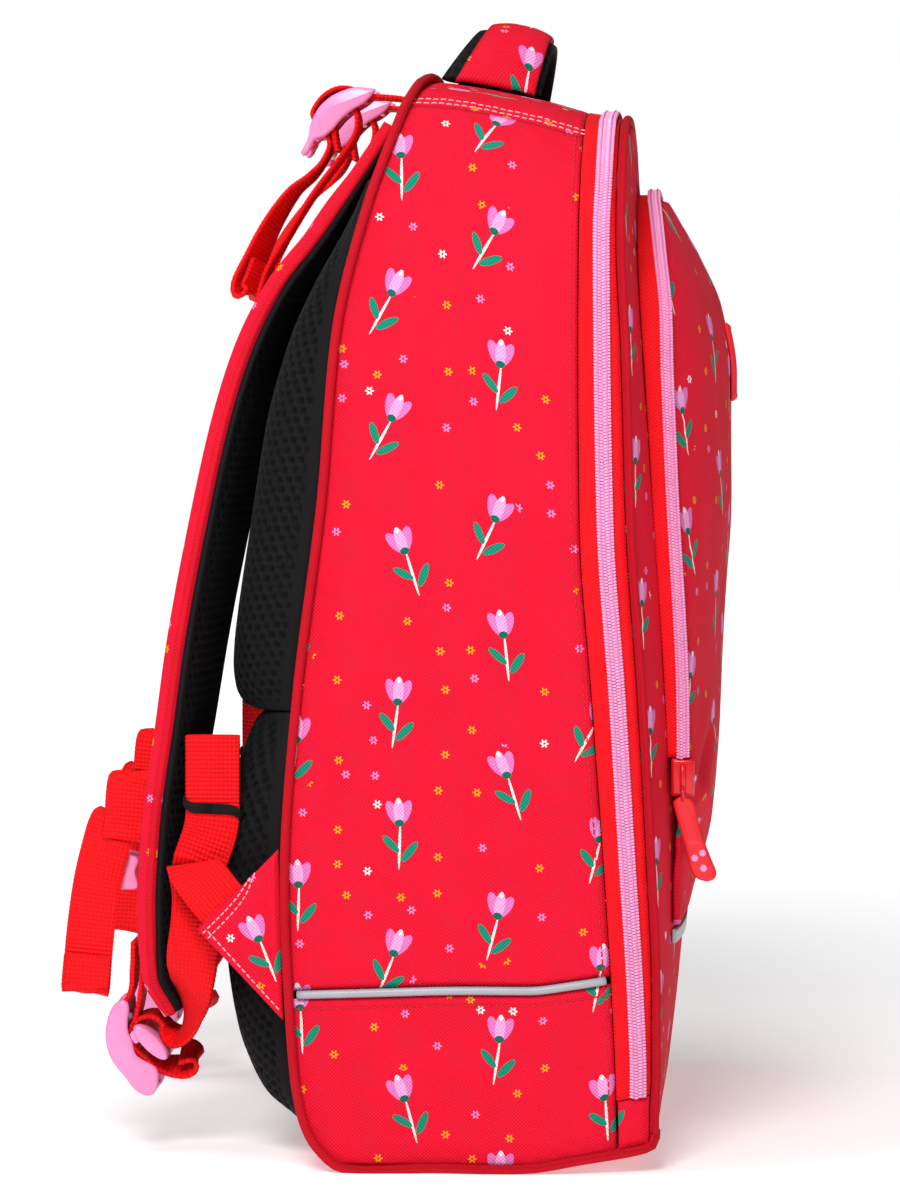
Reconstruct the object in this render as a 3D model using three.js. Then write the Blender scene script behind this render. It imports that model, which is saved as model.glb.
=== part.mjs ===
// A children's ergonomic school backpack: sewn panels, piping, zips, padded back, straps and buckles.
// Millimetres, +Z up. The pocket faces -Y, the wearer stands on the +Y side, X is across.
import * as THREE from 'three';

const { clamp, lerp, degToRad, smoothstep } = THREE.MathUtils;

// Driving dimensions
const gap = 0.4; // clearance between sewn pieces
const body = { half: 140, corner: 42, crown: 6, height: 402, bulge: 3, cloth: 2, wrap: 3 };
const piping = { radius: 1.6, sides: 6, inset: 1.8, proud: 2, seam: 2.4 };
const mainZip = { end: 22, tape: 1.2, coil: 6.2, proud: 1.6 };
const pocket = { half: 110, base: 88, top: 356, corner: 58, cloth: 2, tape: 1.2, coil: 4.4, zipEnd: 150 };
const badge = { half: 30, low: 280, high: 310, thick: 1.6 };
const slider = { tall: 14, deep: 8.6, thick: 5, nose: 1.6 };
const pull = { length: 31, width: 8, tip: 10, thick: 2.4, clear: 2.2, sway: 18 };
const handle = { foot: 52, width: 29, rise: 24, band: 2.4, lining: 3, centre: -10, lean: -9 };
const pad = { half: 120, edge: 3, draw: 0.06, shell: 5, power: 8 };
const webbing = { width: 20, thick: 1.6 };
const lock = { width: 26, top: 30, low: 35, thick: 5, bar: 3.2, round: 3 };
const reflective = { height: 66, radius: 1.5 };

// Side panel edges at each height: back edge, zip seam, coil centre and front piping
const edges = [
  { z: 0, back: 40, seam: -61, coil: -68.5, front: -74.5 },
  { z: 8, back: 49.5, seam: -61, coil: -68.5, front: -74.5 },
  { z: 15, back: 54, seam: -60.8, coil: -68.5, front: -74.5 },
  { z: 28, back: 57.5, seam: -60.5, coil: -68.5, front: -75 },
  { z: 62, back: 60.5, seam: -59, coil: -67.4, front: -75 },
  { z: 113, back: 62, seam: -56, coil: -64.4, front: -73 },
  { z: 178, back: 57, seam: -51.5, coil: -60.6, front: -69.6 },
  { z: 243, back: 48.6, seam: -47, coil: -56.2, front: -65.4 },
  { z: 312, back: 42, seam: -46.4, coil: -54.9, front: -63.4 },
  { z: 354, back: 31, seam: -46.6, coil: -54.6, front: -61.6 },
  { z: 374, back: 23.6, seam: -47.2, coil: -55.4, front: -61.8 },
  { z: 388, back: 18.5, seam: -47.8, coil: -55.9, front: -62.2 },
  { z: 396, back: 15, seam: -48.2, coil: -56.2, front: -62.4 },
  { z: 402, back: 14, seam: -48.2, coil: -56.2, front: -62.4 },
];

// Underside, top line and narrowing of the body at each depth, from the front to the back
const depths = [
  { y: -76, floor: 9, top: 386, inset: 4 },
  { y: -62, floor: 6, top: 388, inset: 2 },
  { y: -46, floor: 3, top: 391, inset: 0 },
  { y: -28, floor: 0, top: 396, inset: 0 },
  { y: 10, floor: 0, top: 402, inset: 0 },
  { y: 62, floor: 0, top: 402, inset: 0 },
];

// Front end of the base, before it turns up into the back at the rounded heel
const baseRows = [
  { y: -73.5, z: 8.4 },
  { y: -46, z: 3 },
  { y: -28, z: 0 },
  { y: 6, z: 0 },
  { y: 40, z: 0 },
];

// Front panel: how far it swells past its piping at each height
const frontSwell = [
  { z: 14, dome: 1 },
  { z: 62, dome: 7 },
  { z: 113, dome: 12 },
  { z: 207, dome: 14 },
  { z: 316, dome: 8 },
  { z: 356, dome: 4 },
  { z: 382, dome: 1 },
];

// Pocket: height of its edge above the front panel, and its crest along the middle
const pocketRows = [
  { z: 88, lip: 3.4, crest: -86.4 },
  { z: 100, lip: 3.2, crest: -90 },
  { z: 120, lip: 4.2, crest: -95 },
  { z: 150, lip: 8.5, crest: -97 },
  { z: 207, lip: 10, crest: -100 },
  { z: 250, lip: 10.3, crest: -102 },
  { z: 290, lip: 11, crest: -102 },
  { z: 316, lip: 12, crest: -97.5 },
  { z: 334, lip: 11, crest: -90 },
  { z: 346, lip: 10, crest: -84 },
  { z: 356, lip: 9, crest: -78 },
];

// Back pads: thickness at each height
const upperPadRows = [
  { z: 180, rise: 20 },
  { z: 196, rise: 23.5 },
  { z: 240, rise: 25.5 },
  { z: 270, rise: 24.5 },
  { z: 300, rise: 19.5 },
  { z: 325, rise: 12.5 },
  { z: 345, rise: 6.5 },
  { z: 362, rise: 3 },
];
const lumbarRows = [
  { z: 20, rise: 6 },
  { z: 32, rise: 17 },
  { z: 48, rise: 22 },
  { z: 77, rise: 24 },
  { z: 110, rise: 24 },
  { z: 150, rise: 21.5 },
  { z: 174, rise: 16 },
];

// Right shoulder strap: its outer face, top to bottom; twist turns its outer edge to the wearer
const strapRows = [
  { z: 385, y: 28, x: 48, width: 50, thick: 2.4, twist: 0 },
  { z: 366, y: 40, x: 48, width: 54, thick: 4, twist: 2 },
  { z: 345, y: 54, x: 50, width: 58, thick: 5.5, twist: 4 },
  { z: 325, y: 68.5, x: 53, width: 62, thick: 6.5, twist: 6 },
  { z: 300, y: 80, x: 57, width: 64, thick: 7, twist: 7 },
  { z: 270, y: 88, x: 63, width: 65, thick: 7, twist: 8 },
  { z: 233, y: 95.5, x: 71, width: 64, thick: 7, twist: 8 },
  { z: 193, y: 102.5, x: 79, width: 62, thick: 7, twist: 8 },
  { z: 160, y: 107, x: 85, width: 58, thick: 7, twist: 8 },
  { z: 120, y: 113.5, x: 88, width: 53, thick: 7, twist: 6 },
  { z: 88, y: 115.8, x: 89, width: 47, thick: 7, twist: 5 },
  { z: 66, y: 114.5, x: 89, width: 39, thick: 6, twist: 5 },
  { z: 51, y: 107.5, x: 88, width: 28, thick: 4.5, twist: 5 },
];
const strapLining = 3.2;

const colours = {
  red: 0xe3202b,
  zipRed: 0xe0111c,
  pink: 0xf09ad2,
  black: 0x161616,
  grey: 0x8a8a92,
};

// Small helpers
const point = (x, y, z) => new THREE.Vector3(x, y, z);

// Gives a reader of any column of a table, straight between the two rows round a value of its key.
function rowAt(table, key, value) {
  const rising = table[0][key] < table[table.length - 1][key];
  let i = 1;
  while (i < table.length - 1 && (rising ? value > table[i][key] : value < table[i][key])) i += 1;
  const before = table[i - 1];
  const after = table[i];
  const t = clamp((value - before[key]) / (after[key] - before[key]), 0, 1);
  return (column) => lerp(before[column], after[column], t);
}

// Joins an outer and an inner grid of points into one closed body.
function closeGrids(outer, inner, rows, cols) {
  const positions = [...outer, ...inner].flatMap((p) => [p.x, p.y, p.z]);
  const at = (i, j) => i * (cols + 1) + j;
  const back = outer.length;
  const index = [];
  const rim = (p, q) => index.push(q, p, p + back, q, p + back, q + back);
  for (let i = 0; i < rows; i += 1) {
    for (let j = 0; j < cols; j += 1) {
      const [a, b, c, d] = [at(i, j), at(i + 1, j), at(i + 1, j + 1), at(i, j + 1)];
      index.push(a, b, c, a, c, d);
      index.push(a + back, c + back, b + back, a + back, d + back, c + back);
    }
    rim(at(i, 0), at(i + 1, 0));
    rim(at(i + 1, cols), at(i, cols));
  }
  for (let j = 0; j < cols; j += 1) {
    rim(at(rows, j), at(rows, j + 1));
    rim(at(0, j + 1), at(0, j));
  }
  const geometry = new THREE.BufferGeometry();
  geometry.setAttribute('position', new THREE.Float32BufferAttribute(positions, 3));
  geometry.setIndex(index);
  geometry.computeVertexNormals();
  return geometry;
}

// The way a face looks: the way that u crossed with v points.
function normalAt(face, u, v) {
  const step = 1e-3;
  const alongU = face(Math.min(1, u + step), v).sub(face(Math.max(0, u - step), v));
  const alongV = face(u, Math.min(1, v + step)).sub(face(u, Math.max(0, v - step)));
  return alongU.cross(alongV).normalize();
}

// A cloth wall: depth(u, v) is how far its inner side lies behind face(u, v), square to the face or along a
// given way. Its outer side is the face itself, or lies start(u, v) behind it.
function wall(rows, cols, face, depth, way = null, start = () => 0) {
  const outer = [];
  const inner = [];
  for (let i = 0; i <= rows; i += 1) {
    for (let j = 0; j <= cols; j += 1) {
      const u = i / rows;
      const v = j / cols;
      const p = face(u, v);
      const out = way ?? normalAt(face, u, v);
      outer.push(p.clone().addScaledVector(out, -start(u, v)));
      inner.push(p.clone().addScaledVector(out, -depth(u, v)));
    }
  }
  return closeGrids(outer, inner, rows, cols);
}

// The same shape on the other side of the bag.
function mirrored(geometry) {
  const copy = geometry.index ? geometry.toNonIndexed() : geometry;
  const source = copy.getAttribute('position');
  const flipped = [];
  for (let i = 0; i < source.count; i += 3) {
    for (const k of [i, i + 2, i + 1]) flipped.push(-source.getX(k), source.getY(k), source.getZ(k));
  }
  const result = new THREE.BufferGeometry();
  result.setAttribute('position', new THREE.Float32BufferAttribute(flipped, 3));
  result.computeVertexNormals();
  return result;
}

// A curve stepped evenly from point to point, so that close points give close steps.
class PointCurve extends THREE.CatmullRomCurve3 {
  getPointAt(u, target) {
    return this.getPoint(u, target);
  }

  getTangentAt(u, target) {
    return this.getTangent(u, target);
  }
}

// A round cord through points.
function cord(points, radius, sides, steps) {
  const ring = [];
  for (let k = 0; k < sides; k += 1) {
    const turn = (2 * Math.PI * k) / sides;
    ring.push(new THREE.Vector2(radius * Math.cos(turn), radius * Math.sin(turn)));
  }
  const extrudePath = new PointCurve(points, false, 'centripetal');
  return new THREE.ExtrudeGeometry(new THREE.Shape(ring), { steps, extrudePath, bevelEnabled: false });
}

// A flat strip of webbing: its middle line, the way its width runs, and its thickness.
function strip(points, across, rows, width = webbing.width, thick = webbing.thick) {
  const line = new THREE.CatmullRomCurve3(points, false, 'centripetal');
  const widths = across.map((way) => way.clone().normalize());
  const wayAt = (u) => {
    const place = u * (widths.length - 1);
    const i = Math.min(Math.floor(place), widths.length - 2);
    return widths[i].clone().lerp(widths[i + 1], place - i).normalize();
  };
  const face = (u, v) => line.getPoint(u).addScaledVector(wayAt(u), (v - 0.5) * width);
  return wall(rows, 1, face, () => thick);
}

// Stations along a line: so many even steps between each two stops.
function stations(stops, counts) {
  const list = [stops[0]];
  counts.forEach((count, i) => {
    for (let k = 1; k <= count; k += 1) list.push(lerp(stops[i], stops[i + 1], k / count));
  });
  return list;
}

// The value at a share of a list, straight between its entries.
function pick(list, u) {
  const place = u * (list.length - 1);
  const i = Math.min(Math.floor(place), list.length - 2);
  return lerp(list[i], list[i + 1], place - i);
}

const bag = new THREE.Group();

function addPiece(name, geometry, color, roughness = 0.85) {
  const material = new THREE.MeshStandardMaterial({ color, roughness, metalness: 0 });
  const mesh = new THREE.Mesh(geometry, material);
  mesh.name = name;
  bag.add(mesh);
  return mesh;
}

// Adds a piece made for the right side (+X) and its twin on the left.
function addPair(name, geometry, color, roughness) {
  addPiece(`${name}_right`, geometry, color, roughness);
  addPiece(`${name}_left`, mirrored(geometry), color, roughness);
}

// The right strap hangs further out than the left: its points move back by an amount for each height.
const sway = { out: 15, foot: 12, low: 60, middle: 200, high: 385, tied: [50, 86] };
function strapSwing(z) {
  const share = clamp((z - sway.low) / (sway.high - sway.low), 0, 1);
  return sway.out * Math.sin(Math.PI * share) ** 2 + sway.foot * (1 - smoothstep(z, sway.low, sway.middle));
}
const webSwing = (z) => sway.foot * (1 - smoothstep(z, ...sway.tied));
function swung(geometry, swing) {
  const copy = geometry.clone();
  const place = copy.getAttribute('position');
  for (let i = 0; i < place.count; i += 1) {
    place.setY(i, place.getY(i) + swing(place.getZ(i)));
  }
  copy.computeVertexNormals();
  return copy;
}
function addStrapPair(name, geometry, color, roughness, swing = strapSwing) {
  addPiece(`${name}_right`, swung(geometry, swing), color, roughness);
  addPiece(`${name}_left`, mirrored(geometry), color, roughness);
}

// Body: g is the distance along half its outline, from the floor up the side to the middle of the top
const girth = { side: body.height - body.crown - body.corner, arc: (body.corner * Math.PI) / 2 };
girth.half = girth.side + girth.arc + body.half - body.corner;
const seamTurn = degToRad(56); // how far round the top corner the side panels reach
const levelY = 20; // a depth where the floor and the top line are level

// Height of the top at a place across and along it.
function topHeight(x, y) {
  const depth = rowAt(depths, 'y', y);
  const flat = body.half - depth('inset') - body.corner;
  return depth('top') - body.crown * (x / flat) ** 2;
}

// A point of the right half of the skin.
function skin(g, y) {
  const depth = rowAt(depths, 'y', y);
  const half = body.half - depth('inset');
  const shoulder = depth('top') - body.crown - body.corner;
  if (g <= girth.side) {
    const edge = rowAt(edges, 'z', g);
    const t = g / girth.side;
    const v = clamp((y - edge('seam')) / (edge('back') - edge('seam')), 0, 1);
    const swell = body.bulge * 4 * v * (1 - v) * Math.sin(Math.PI * t);
    return point(half + swell, y, lerp(depth('floor'), shoulder, t));
  }
  const turn = (g - girth.side) / body.corner;
  if (turn <= Math.PI / 2) {
    const x = half - body.corner + body.corner * Math.cos(turn);
    return point(x, y, shoulder + body.corner * Math.sin(turn));
  }
  const x = ((half - body.corner) * (girth.half - g)) / (body.half - body.corner);
  return point(x, y, topHeight(x, y));
}

// The way out of the skin, seen from the front.
function wayOut(g) {
  const turn = clamp((g - girth.side) / body.corner, 0, Math.PI / 2);
  return point(Math.cos(turn), 0, Math.sin(turn));
}

const edgeAt = (g, column) => rowAt(edges, 'z', skin(g, levelY).z)(column);

// A point of the whole loop over the bag: along is measured from the middle of the top, +X to the right.
function loop(along, column, shift, out) {
  const g = girth.half - Math.abs(along);
  const p = skin(g, edgeAt(g, column) + shift).addScaledVector(wayOut(g), out);
  if (along < 0) p.x = -p.x;
  return p;
}

// Side panels: upper and lower parts, with a reflective piping in the seam between them
function sidePanel(heights, cols) {
  const face = (u, v) => {
    const g = pick(heights, u);
    const back = edgeAt(g, 'back') - piping.seam;
    return skin(g, lerp(back, edgeAt(g, 'seam') + gap, v));
  };
  return wall(heights.length - 1, cols, face, () => body.cloth);
}
const foldLow = reflective.height - 2 * reflective.radius;
const foldHigh = reflective.height + reflective.radius;
const sideTop = girth.side + body.corner * seamTurn;
addPair('side_lower', sidePanel(stations([piping.seam, 28, foldLow], [4, 2]), 5), colours.red);
addPair('side_upper', sidePanel(stations([foldHigh, girth.side, sideTop], [8, 6]), 6), colours.red);

const reflectiveLine = [];
for (let k = 0; k <= 6; k += 1) {
  const g = foldLow + reflective.radius + gap;
  const y = lerp(edgeAt(g, 'back') - 2 * piping.seam, edgeAt(g, 'seam') + 2, k / 6);
  reflectiveLine.push(skin(g, y));
}
addPair('side_reflective', cord(reflectiveLine, reflective.radius, 6, 8), colours.grey, 0.4);

// Back panel and base in one wrap, trimmed to the body's outline
const wrapRows = [...baseRows, ...edges.filter((row) => row.z > 4 && row.z < 400)
  .map((row) => ({ y: row.back, z: row.z }))];
const wrapEdge = body.cloth + 2 * gap;
function wrapFace(u, v) {
  const y = pick(wrapRows.map((row) => row.y), u);
  const z = pick(wrapRows.map((row) => row.z), u);
  const rise = clamp((z - girth.side) / body.corner, 0, 1);
  const round = body.corner * (1 - Math.sqrt(1 - rise * rise));
  const half = body.half - rowAt(depths, 'y', y)('inset') - wrapEdge - round;
  const across = 2 * v - 1;
  return point(half * across, y, z + rise * (body.crown * (1 - across * across) - wrapEdge));
}
addPiece('back_panel', wall(wrapRows.length - 1, 8, wrapFace, () => body.wrap), colours.red);

// Top panel between the side panels
const topReach = girth.half - sideTop - gap;
const topFlat = body.half - body.corner;
const topStations = stations([-topReach, -topFlat, topFlat, topReach], [3, 6, 3]);
const topFace = (u, v) => {
  const along = pick(topStations, u);
  const g = girth.half - Math.abs(along);
  return loop(along, 'seam', lerp(gap, edgeAt(g, 'back') - piping.seam - edgeAt(g, 'seam'), v), 0);
};
addPiece('top_panel', wall(topStations.length - 1, 4, topFace, () => body.cloth), colours.red);

// Main zip: a tape right over the bag, and its coil
const zipReach = girth.half - mainZip.end;
const tapeFront = piping.radius + gap;
const turnEnd = topFlat + girth.arc;
const zipStations = stations([-zipReach, -turnEnd, -topFlat, topFlat, turnEnd, zipReach], [8, 8, 4, 8, 8]);
const tapeFace = (u, v) => {
  const along = pick(zipStations, u);
  const g = girth.half - Math.abs(along);
  const width = edgeAt(g, 'seam') - edgeAt(g, 'front') - tapeFront;
  return loop(along, 'front', tapeFront + width * v, 0);
};
addPiece('main_zip_tape', wall(zipStations.length - 1, 1, tapeFace, () => mainZip.tape), colours.zipRed);
const coilFace = (u, v) => {
  const along = pick(zipStations, u);
  return loop(along, 'coil', (v - 0.5) * mainZip.coil, mainZip.proud + gap);
};
addPiece('main_zip_coil', wall(zipStations.length - 1, 1, coilFace, () => mainZip.proud), colours.pink, 0.4);

// Cloth tabs that close the lower ends of the main zip
const endTab = { low: 11, high: mainZip.end - gap, thick: 2.4 };
const endTabFace = (u, v) => {
  const g = lerp(endTab.low, endTab.high, u);
  return skin(g, lerp(edgeAt(g, 'seam') - gap, edgeAt(g, 'front') + tapeFront, v));
};
addPair('zip_end_tab', wall(2, 2, endTabFace, () => endTab.thick), colours.red);

// Main slider, parked at the end of the zip on the far side
const sliderSeat = skin(mainZip.end + 12, edgeAt(mainZip.end + 12, 'coil'));
const mainSlider = new THREE.BoxGeometry(slider.thick, slider.deep, slider.tall, 1, 1, 1);
mainSlider.translate(sliderSeat.x + mainZip.proud + 4 * gap + slider.thick / 2, sliderSeat.y, sliderSeat.z);
addPiece('main_zip_slider', mainSlider, colours.zipRed, 0.5);

// Piping: round the back panel and base, and round the front
const backPipe = [];
const frontPipe = [];
const pipeSide = body.half + piping.proud;
for (const row of baseRows) {
  backPipe.push(point(pipeSide - rowAt(depths, 'y', row.y)('inset'), row.y, row.z + piping.inset));
}
for (const row of edges.filter((edge) => edge.z > 4 && edge.z < girth.side)) {
  backPipe.push(loop(girth.half - row.z, 'back', -piping.inset, piping.proud));
}
for (const along of stations([turnEnd, topFlat, 0], [8, 4])) {
  backPipe.push(loop(along, 'back', -piping.inset, piping.proud));
}
const otherSide = (points) => points.slice(0, -1).reverse().map((p) => point(-p.x, p.y, p.z));
const backRoute = [...backPipe, ...otherSide(backPipe)];
addPiece('back_piping', cord(backRoute, piping.radius, piping.sides, backRoute.length - 1), colours.red, 0.6);
for (const along of stations([girth.half - 12, turnEnd, topFlat, 0], [9, 8, 4])) {
  frontPipe.push(loop(along, 'front', 0, 0));
}
const frontRoute = [...frontPipe, ...otherSide(frontPipe)];
const frontCord = cord(frontRoute, piping.radius, piping.sides, frontRoute.length - 1);
addPiece('front_piping', frontCord, colours.red, 0.6);

// Front panel, swelling past its piping
const front = { low: 12, inset: 2, lead: 0.6, power: 4, depth: -66 };
front.top = rowAt(depths, 'y', front.depth)('top');
front.shoulder = front.top - body.crown - body.corner;
front.corner = body.corner - front.inset;
front.high = front.shoulder + front.corner;

const frontEdge = (z) => rowAt(edges, 'z', (z * body.height) / front.top)('front');

function frontHalf(z) {
  const rise = clamp((z - front.shoulder) / front.corner, 0, 1);
  const half = body.half - rowAt(depths, 'y', frontEdge(z))('inset') - front.inset;
  return half - front.corner * (1 - Math.sqrt(1 - rise * rise));
}

function frontY(x, z) {
  const across = Math.min(1, Math.abs(x) / frontHalf(z));
  return frontEdge(z) - front.lead - rowAt(frontSwell, 'z', z)('dome') * (1 - across ** front.power);
}

const forward = point(0, -1, 0);
const frontHeights = stations([front.low, 62, 207, front.shoulder, front.high], [3, 4, 4, 6]);
const frontFace = (u, v) => {
  const z = pick(frontHeights, u);
  const across = 1 - 2 * v;
  const x = frontHalf(z) * across;
  const rise = clamp((z - front.shoulder) / front.corner, 0, 1);
  return point(x, frontY(x, z), z + rise * body.crown * (1 - across * across));
};
addPiece('front_panel', wall(frontHeights.length - 1, 10, frontFace, () => body.cloth, forward), colours.red);

// Front pocket: g is the distance along half its outline, from its foot up to the middle of its top
const pocketGirth = { side: pocket.top - pocket.corner - pocket.base, arc: (pocket.corner * Math.PI) / 2 };
pocketGirth.half = pocketGirth.side + pocketGirth.arc + pocket.half - pocket.corner;

// A point of the pocket's edge in the front view, moved out by a distance.
function pocketEdge(along, out) {
  const g = pocketGirth.half - Math.abs(along);
  const side = Math.sign(along) || 1;
  const turn = clamp((g - pocketGirth.side) / pocket.corner, 0, Math.PI / 2);
  const flat = Math.min(pocket.half - pocket.corner, pocketGirth.half - g);
  const reach = pocket.corner + out;
  const foot = Math.min(g, pocketGirth.side);
  const x = turn < Math.PI / 2 ? pocket.half - pocket.corner + reach * Math.cos(turn) : flat;
  return { x: side * x, z: pocket.base + foot + reach * Math.sin(turn) };
}

function pocketHalf(z) {
  const rise = clamp((z - pocket.top + pocket.corner) / pocket.corner, 0, 1);
  return pocket.half - pocket.corner * (1 - Math.sqrt(1 - rise * rise));
}

function pocketY(x, z) {
  const row = rowAt(pocketRows, 'z', z);
  const half = pocketHalf(z);
  const edge = frontY(half, z) - row('lip');
  return lerp(row('crest'), edge, Math.min(1, Math.abs(x) / half) ** 3);
}

const pocketFace = (u, v) => {
  const z = lerp(pocket.base, pocket.top, 1 - (1 - u) ** 1.25);
  const x = pocketHalf(z) * (1 - 2 * v);
  return point(x, pocketY(x, z), z);
};
addPiece('pocket_face', wall(18, 12, pocketFace, () => pocket.cloth, forward), colours.red);

// Pocket zip: the tape stands on the front panel round the pocket, and the coil runs along its outer edge
const pocketReach = pocketGirth.half - (pocket.zipEnd - pocket.base);
const tapeSeat = 2 * gap + pocket.tape;
const pocketFlat = pocket.half - pocket.corner;
const pocketTurn = pocketFlat + pocketGirth.arc;
const pocketStations = stations(
  [-pocketReach, -pocketTurn, -pocketFlat, pocketFlat, pocketTurn, pocketReach],
  [5, 8, 3, 8, 5],
);
function pocketBand(u, v, out, low, high) {
  const along = pick(pocketStations, u);
  const p = pocketEdge(along, out);
  const lip = rowAt(pocketRows, 'z', p.z)('lip');
  return point(p.x, frontY(p.x, p.z) - lerp(high(lip), low(lip), v), p.z);
}
const pocketRowCount = pocketStations.length - 1;
const pocketTape = (u, v) => pocketBand(u, v, tapeSeat, () => gap, (lip) => lip);
addPiece('pocket_zip_tape', wall(pocketRowCount, 1, pocketTape, () => pocket.tape), colours.zipRed);
const coilOut = tapeSeat + gap + mainZip.proud;
const pocketCoil = (u, v) => pocketBand(u, v, coilOut, (lip) => lip - pocket.coil, (lip) => lip);
addPiece('pocket_zip_coil', wall(pocketRowCount, 1, pocketCoil, () => mainZip.proud), colours.pink, 0.4);

// Reflective strip along the pocket's foot
const stripFace = (u, v) => {
  const z = lerp(pocket.base - 7, pocket.base - 2, u);
  const x = lerp(pocket.half, -pocket.half, v);
  return point(x, frontY(x, z) - gap - 1, z);
};
addPiece('pocket_reflective', wall(1, 10, stripFace, () => 1), colours.grey, 0.4);

// Blank badge on the pocket
const badgeFace = (u, v) => {
  const z = lerp(badge.low, badge.high, u);
  const x = lerp(badge.half, -badge.half, v);
  return point(x, pocketY(x, z) - gap - badge.thick, z);
};
addPiece('badge_patch', wall(4, 4, badgeFace, () => badge.thick), colours.red);

// Handle: a band over a mesh lining, leaning to the front
function handleFace(foot, rise, width, lift) {
  return (u, v) => {
    const across = 2 * u - 1;
    const arch = 1 - Math.abs(across) ** 3;
    const x = foot * across;
    const y = handle.centre + handle.lean * arch + (v - 0.5) * width;
    return point(x, y, topHeight(x, y) + lift + rise * arch);
  };
}
const liningDrop = handle.band + gap;
const bandFace = handleFace(handle.foot, handle.rise, handle.width, 2.4);
addPiece('handle_outer', wall(14, 2, bandFace, () => handle.band), colours.red);
const liningFace = handleFace(handle.foot - 4.4, handle.rise - liningDrop - gap, handle.width + 1.4, 2.6);
addPiece('handle_lining', wall(14, 2, liningFace, () => handle.lining), colours.black, 0.9);

// Back pads, crowned and drawn in towards their edges; a shell, because their foam weighs next to nothing
const edgeBack = (z) => rowAt(edges, 'z', z)('back');
const backward = point(0, 1, 0);
function backPad(table, heights) {
  const rise = (z, across) => {
    const swell = rowAt(table, 'z', z)('rise') - pad.edge;
    return pad.edge + Math.max(0, swell) * (1 - Math.abs(across) ** pad.power);
  };
  const face = (u, v) => {
    const z = pick(heights, u);
    const across = 2 * v - 1;
    const half = pad.half * (1 - pad.draw * (2 * u - 1) ** 4);
    return point(half * across, edgeBack(z) + gap + rise(z, across), z);
  };
  const depth = (u, v) => Math.min(pad.shell, rise(pick(heights, u), 2 * v - 1));
  return wall(heights.length - 1, 8, face, depth, backward);
}
const upperStations = stations([180, 243, 312, 354, 362], [4, 4, 3, 1]);
const lumbarStations = stations([20, 28, 62, 113, 174], [1, 3, 3, 4]);
addPiece('upper_pad', backPad(upperPadRows, upperStations), colours.black, 0.95);
addPiece('lumbar_pad', backPad(lumbarRows, lumbarStations), colours.black, 0.95);

// A flat outline cut from sheet and set in space: right, up and out are its own three ways.
function plate(outline, holes, thick, centre, right, up) {
  const shape = new THREE.Shape(outline.map(([x, y]) => new THREE.Vector2(x, y)));
  for (const hole of holes) shape.holes.push(new THREE.Path(hole.map(([x, y]) => new THREE.Vector2(x, y))));
  const geometry = new THREE.ExtrudeGeometry(shape, { depth: thick, bevelEnabled: false, steps: 1 });
  geometry.translate(0, 0, -thick / 2);
  const out = right.clone().cross(up);
  geometry.applyMatrix4(new THREE.Matrix4().makeBasis(right, up, out).setPosition(centre));
  return geometry;
}

// Four or eight corners of a rectangle, cut off by `cut` where that is given.
function corners(width, height, cut = 0, lift = 0) {
  const [w, h] = [width / 2, height / 2];
  const list = [[w, -h + cut], [w, h - cut], [w - cut, h], [-w + cut, h], [-w, h - cut], [-w, -h + cut],
    [-w + cut, -h], [w - cut, -h]];
  const kept = cut > 0 ? list : [list[0], list[1], list[4], list[5]];
  return kept.map(([x, y]) => [x, y + lift]);
}

// Pocket slider with a nose that the pull hangs from, and the pull, made on the right and set on the left
const sliderFoot = pocket.zipEnd - gap - slider.tall;
const sliderX = pocket.half + 1.5 * gap;
const sliderY = pocketY(pocket.half, sliderFoot) + 1.6;
const pivot = { x: sliderX + slider.thick + 1.7, z: sliderFoot + 2.4 };
const noseTurns = [-90, -45, 0, 45, 90].map(degToRad);
const sliderProfile = [
  [sliderX, sliderFoot],
  [sliderX + slider.thick, sliderFoot],
  ...noseTurns.map((turn) => [
    pivot.x + slider.nose * Math.cos(turn),
    pivot.z + slider.nose * Math.sin(turn),
  ]),
  [sliderX + slider.thick, pivot.z + 2 * slider.nose],
  [sliderX + slider.thick, sliderFoot + slider.tall],
  [sliderX, sliderFoot + slider.tall],
];
const xWay = point(1, 0, 0);
const yWay = point(0, 1, 0);
const zWay = point(0, 0, 1);
const sliderSolid = plate(sliderProfile, [], slider.deep, point(0, sliderY, 0), xWay, zWay);
addPiece('pocket_slider_left', mirrored(sliderSolid), colours.zipRed, 0.5);
const pullOutline = [
  [-pull.width / 2, 0],
  [-pull.tip / 2 - pull.sway / 2, -pull.length + 5],
  [-pull.tip / 3 - pull.sway / 2, -pull.length],
  [pull.tip / 3 - pull.sway / 2, -pull.length],
  [pull.tip / 2 - pull.sway / 2, -pull.length + 5],
  [pull.width / 2, 0],
];
const pullSeat = point(pivot.x, sliderY, pivot.z - pull.clear);
const pullSolid = plate(pullOutline, [], pull.thick, pullSeat, yWay, zWay);
addPiece('zip_pull_left', mirrored(pullSolid), colours.zipRed, 0.6);

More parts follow.
